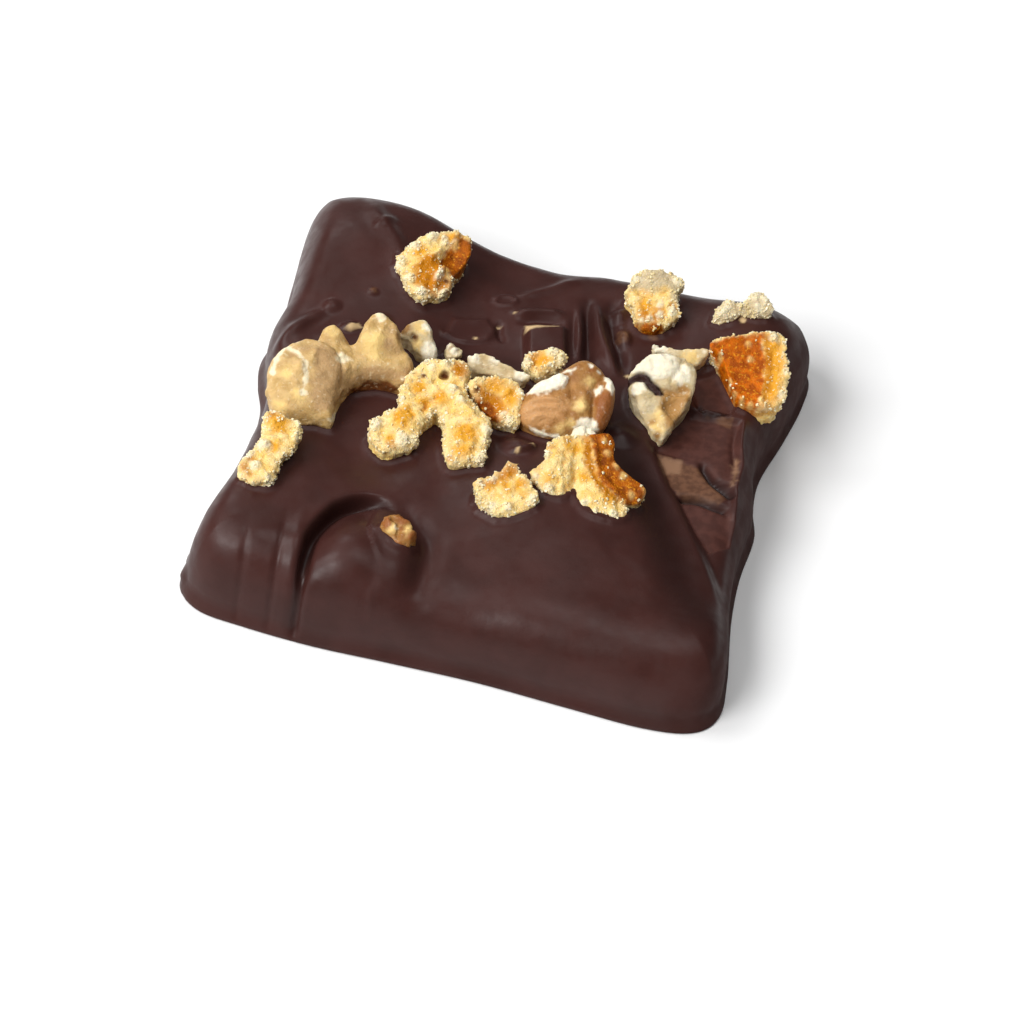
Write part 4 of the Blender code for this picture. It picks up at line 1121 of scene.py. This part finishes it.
# %% [markdown]
# ## Nut, peel and sugar
# A nut or a peel starts from two mottled colours. Painted shade in the hollows and the painted places are
# laid over them, and then a dusting of pale crumbs. Some of the tan and darker brown is painted shade too.

# %% Walnut material
def walnut_finish(name, flesh, shade, tan, deep, pale, roughness=0.5, dust=0.6):
    finish = Finish(name)
    # The tan and darker brown layers are partly the nut's own colour and partly painted shade, and the hollow
    # tint is painted shade.
    colour = finish.layers(
        finish.mix(finish.mottle(1.2), flesh, shade), ("gold", (236, 202, 130)), ("tan", tan),
        (finish.math("POWER", finish.mask("hollow_shade"), 4.0), tan), ("deep", deep), ("pale", pale),
        (finish.mottle(0.5, 4.0, 0.56, 0.75), pale, dust), ("coated", (50, 27, 23)))
    finish.shade(Base_Color=colour, Roughness=roughness, Specular_IOR_Level=0.22)
    finish.bump(finish.mottle(0.3, 5.0, 0.2, 0.8), 0.05)
    finish.subsurface(0.15, 0.6, (0.8, 0.5, 0.25))
    return finish.material


# %% Peel material
def peel_finish(name, bright_rind, dark_rind):
    finish = Finish(name)
    pith = finish.layers(
        finish.mix(finish.mottle(1.3), (246, 218, 152), (240, 198, 112)),
        (finish.math("POWER", finish.mask("hollow_shade"), 3.0), (222, 160, 66)), ("gold", (228, 162, 46)),
        ("chalky", (206, 186, 148)), ("amber", (194, 122, 12)), ("rim", (236, 214, 164), 0.35),
        ("pale", (242, 230, 196), 0.8), (finish.mottle(0.3, 3.0, 0.58, 0.7), (246, 234, 200), 0.6))
    rind = finish.layers(
        finish.mix(finish.mottle(0.9), bright_rind, dark_rind),
        (finish.mottle(0.35, 2.0, 0.58, 0.7), (212, 140, 30)), ("pale", (230, 190, 116), 0.7))
    # The darker brown layer is painted shade in holes in the peel.
    colour = finish.layers(pith, ("rind", rind), ("deep", (90, 48, 22)))
    finish.shade(Base_Color=colour, Roughness=0.5, Specular_IOR_Level=0.14)
    finish.bump(finish.mottle(0.22, 4.0, 0.2, 0.8), 0.08)
    finish.subsurface(0.2, 0.7, (0.8, 0.55, 0.2))
    return finish.material


def sugar_finish():
    finish = Finish("sugar_crystal")
    finish.shade(Base_Color=finish.mix(finish.mottle(1.5), (240, 214, 154), (246, 234, 200)), Roughness=0.3)
    finish.subsurface(0.3, 0.4, (1.0, 0.8, 0.5))
    return finish.material


# %% Build every material once
CHOCOLATE = chocolate_finish()
# The fourth and fifth colours of each walnut finish are tan and darker brown, partly painted shade.
WALNUT = walnut_finish("walnut_flesh", (208, 174, 118), (192, 156, 96), (184, 148, 102), (112, 66, 32),
                       (240, 224, 188), dust=0.45)
WALNUT_CHALKY = walnut_finish("walnut_chalky", (216, 198, 160), (202, 180, 136), (172, 128, 72), (104, 62, 32),
                              (236, 226, 200))
WALNUT_BROWN = walnut_finish("walnut_brown_skin", (160, 112, 56), (146, 96, 44), (198, 148, 96), (146, 88, 42),
                             (248, 238, 214), roughness=0.4, dust=0.15)
PEEL = peel_finish("candied_peel", (178, 94, 2), (130, 62, 2))
PEEL_BRIGHT = peel_finish("candied_peel_bright", (210, 106, 2), (158, 72, 2))
SUGAR = sugar_finish()

# %% [markdown]
# ## Sugar crystals
# Thousands of small grains cling to the peel. Geometry Nodes scatter them over the peel's own surface, more
# where the sugar mask is high, and the result is made real so that it can be exported.

# %% Crystal scatter tree
def scatter_tree(name, finish):
    tree = bpy.data.node_groups.new(name, "GeometryNodeTree")
    tree.interface.new_socket("Geometry", in_out="INPUT", socket_type="NodeSocketGeometry")
    add_inputs(tree, "NodeSocketFloat", Grains_per_mm2=2.0, Smallest=0.1, Largest=0.3)
    add_inputs(tree, "NodeSocketInt", Seed=1)
    tree.interface.new_socket("Geometry", in_out="OUTPUT", socket_type="NodeSocketGeometry")
    given = added(tree, "NodeGroupInput").outputs
    sugar = added(tree, "GeometryNodeInputNamedAttribute", {"Name": "sugar"}, data_type="FLOAT")
    grains = added(tree, "ShaderNodeMath", {0: given["Grains per mm2"], 1: PER_MM**2}, operation="MULTIPLY")
    density = added(tree, "ShaderNodeMath", {0: grains.outputs[0], 1: sugar.outputs["Attribute"]},
                    operation="MULTIPLY")
    scatter = added(tree, "GeometryNodeDistributePointsOnFaces", {
        "Mesh": given["Geometry"], "Density": density.outputs[0], "Seed": given["Seed"]})
    crystal = added(tree, "GeometryNodeMeshCube", {"Size": (MM, MM, MM)})
    size = added(tree, "FunctionNodeRandomValue", {
        "Seed": given["Seed"], 0: given["Smallest"], 1: given["Largest"]}, data_type="FLOAT_VECTOR")
    turn = added(tree, "FunctionNodeRandomValue", {1: (2 * pi, 2 * pi, 2 * pi)}, data_type="FLOAT_VECTOR")
    place = added(tree, "GeometryNodeInstanceOnPoints", {
        "Points": scatter.outputs["Points"], "Instance": crystal.outputs["Mesh"],
        "Rotation": turn.outputs[0], "Scale": size.outputs[0]})
    real = added(tree, "GeometryNodeRealizeInstances", {"Geometry": place.outputs["Instances"]})
    dress = added(tree, "GeometryNodeSetMaterial", {"Geometry": real.outputs["Geometry"], "Material": finish})
    added(tree, "NodeGroupOutput", {"Geometry": dress.outputs["Geometry"]})
    return tree


# %% Scatter the sugar
def joined(name, meshes):
    bm = bmesh.new()
    for mesh in meshes:
        bm.from_mesh(mesh)
    whole = bpy.data.meshes.new(name)
    bm.to_mesh(whole)
    bm.free()
    return whole


def scattered(name, ground, tree, **values):
    carrier = in_scene(name + "_carrier", ground)
    nodes = carrier.modifiers.new("scatter", "NODES")
    nodes.node_group = tree
    keys = {item.name: item.identifier for item in tree.interface.items_tree if item.in_out == "INPUT"}
    for label, value in values.items():
        nodes[keys[label.replace("_", " ")]] = value
    return finished_mesh(carrier, name)


sugar_tree = scatter_tree("sugar_scatter", SUGAR)
sugar = scattered("sugar_crystals", joined("sugared_ground", peels.values()), sugar_tree,
                  Grains_per_mm2=4.4, Smallest=0.10, Largest=0.34, Seed=4)
print("sugar crystals:", len(sugar.polygons) // 6)

# %% [markdown]
# ## Place the pieces
# Every finished mesh becomes an object at the origin, rides on the one body and stands for its CAD node.

# %% Place
def placed(mesh, finish, slot, *nodes):
    mesh.materials.clear()
    mesh.materials.append(finish)
    (mesh.shade_flat if finish == SUGAR else mesh.shade_smooth)()
    piece = in_scene(mesh.name.split(".")[0] + "_piece", mesh)
    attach(piece, "root")
    if nodes:
        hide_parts(*nodes)
    return piece


NUT_FINISH = {"walnut_brown": WALNUT_BROWN, "lobe_crumb": WALNUT_BROWN, "walnut_bone": WALNUT}

placed(coat, CHOCOLATE, "dark_chocolate", "coated_square")
for name, mesh in walnuts.items():
    slot = "walnut_skin" if name == "walnut_brown" else "walnut"
    placed(mesh, NUT_FINISH.get(name, WALNUT_CHALKY), slot, *[name] * (name in WALNUTS))
for name, mesh in peels.items():
    slot = "orange_rind" if name in ("peel_wedge", "peel_right") else "candied_peel"
    placed(mesh, PEEL_BRIGHT if name == "peel_right" else PEEL, slot, name)
placed(sugar, SUGAR, "candied_peel")

# %% [markdown]
# ## Floor, light and camera
# A pale floor and large soft lights. The biggest stands at the front left, so that the dark coat takes a broad
# sheen there. The camera looks down from the front, and is rolled a little, because the real sweet leans.

# %% Floor
FLOOR_SIZE = 3.0
FLOOR_GAP = 0.0001


def pale_floor():
    bm = bmesh.new()
    bmesh.ops.create_grid(bm, x_segments=1, y_segments=1, size=FLOOR_SIZE / 2)
    mesh = bpy.data.meshes.new("floor")
    bm.to_mesh(mesh)
    bm.free()
    finish = Finish("pale_paper")
    paper = finish.mix(finish.mottle(60.0), (248, 248, 248), (250, 250, 250))
    finish.shade(Base_Color=paper, Roughness=0.9, Specular_IOR_Level=0.1)
    mesh.materials.append(finish.material)
    floor = in_scene("floor", mesh)
    floor.location.z = -FLOOR_GAP


pale_floor()

# %% Lights
def soft_light(name, place, size, watts):
    light = bpy.data.lights.new(name, "AREA")
    light.shape = "DISK"
    light.size = size
    light.energy = watts
    lamp = in_scene(name, light)
    lamp.location = place
    lamp.rotation_euler = (-Vector(place)).to_track_quat("-Z", "Y").to_euler()


for light in (
    ("front left", (-0.72, -0.86, 0.90), 0.80, 16.0), ("high left", (-0.56, -0.04, 0.60), 0.45, 2.8),
    ("overhead", (0.10, 0.00, 1.20), 0.80, 4.4), ("back strip", (-0.50, 0.80, 0.76), 0.50, 2.0),
):
    soft_light(*light)

world = bpy.data.worlds.new("studio")
world.use_nodes = True
background = world.node_tree.nodes["Background"]
background.inputs["Color"].default_value = (1.0, 1.0, 1.0, 1.0)
background.inputs["Strength"].default_value = 0.12
bpy.context.scene.world = world
bpy.context.scene.view_settings.view_transform = "Standard"

# %% Camera
AZIMUTH, ELEVATION, ROLL = radians(5.0), radians(45.0), radians(10.3)
DISTANCE, LENS = 0.450, 135.0
TARGET = Vector((0.0017, -0.0047, 0.0))


def camera_at(target, distance, azimuth, elevation, roll, lens):
    back = Vector((sin(azimuth) * cos(elevation), -cos(azimuth) * cos(elevation), sin(elevation)))
    data = bpy.data.cameras.new("camera")
    data.lens = lens
    data.clip_start = 0.01
    camera = in_scene("camera", data)
    turned = back.to_track_quat("Z", "Y").to_matrix().to_4x4() @ Matrix.Rotation(roll, 4, "Z")
    camera.matrix_world = Matrix.Translation(target + back * distance) @ turned
    bpy.context.scene.camera = camera


camera_at(TARGET, DISTANCE, AZIMUTH, ELEVATION, ROLL, LENS)
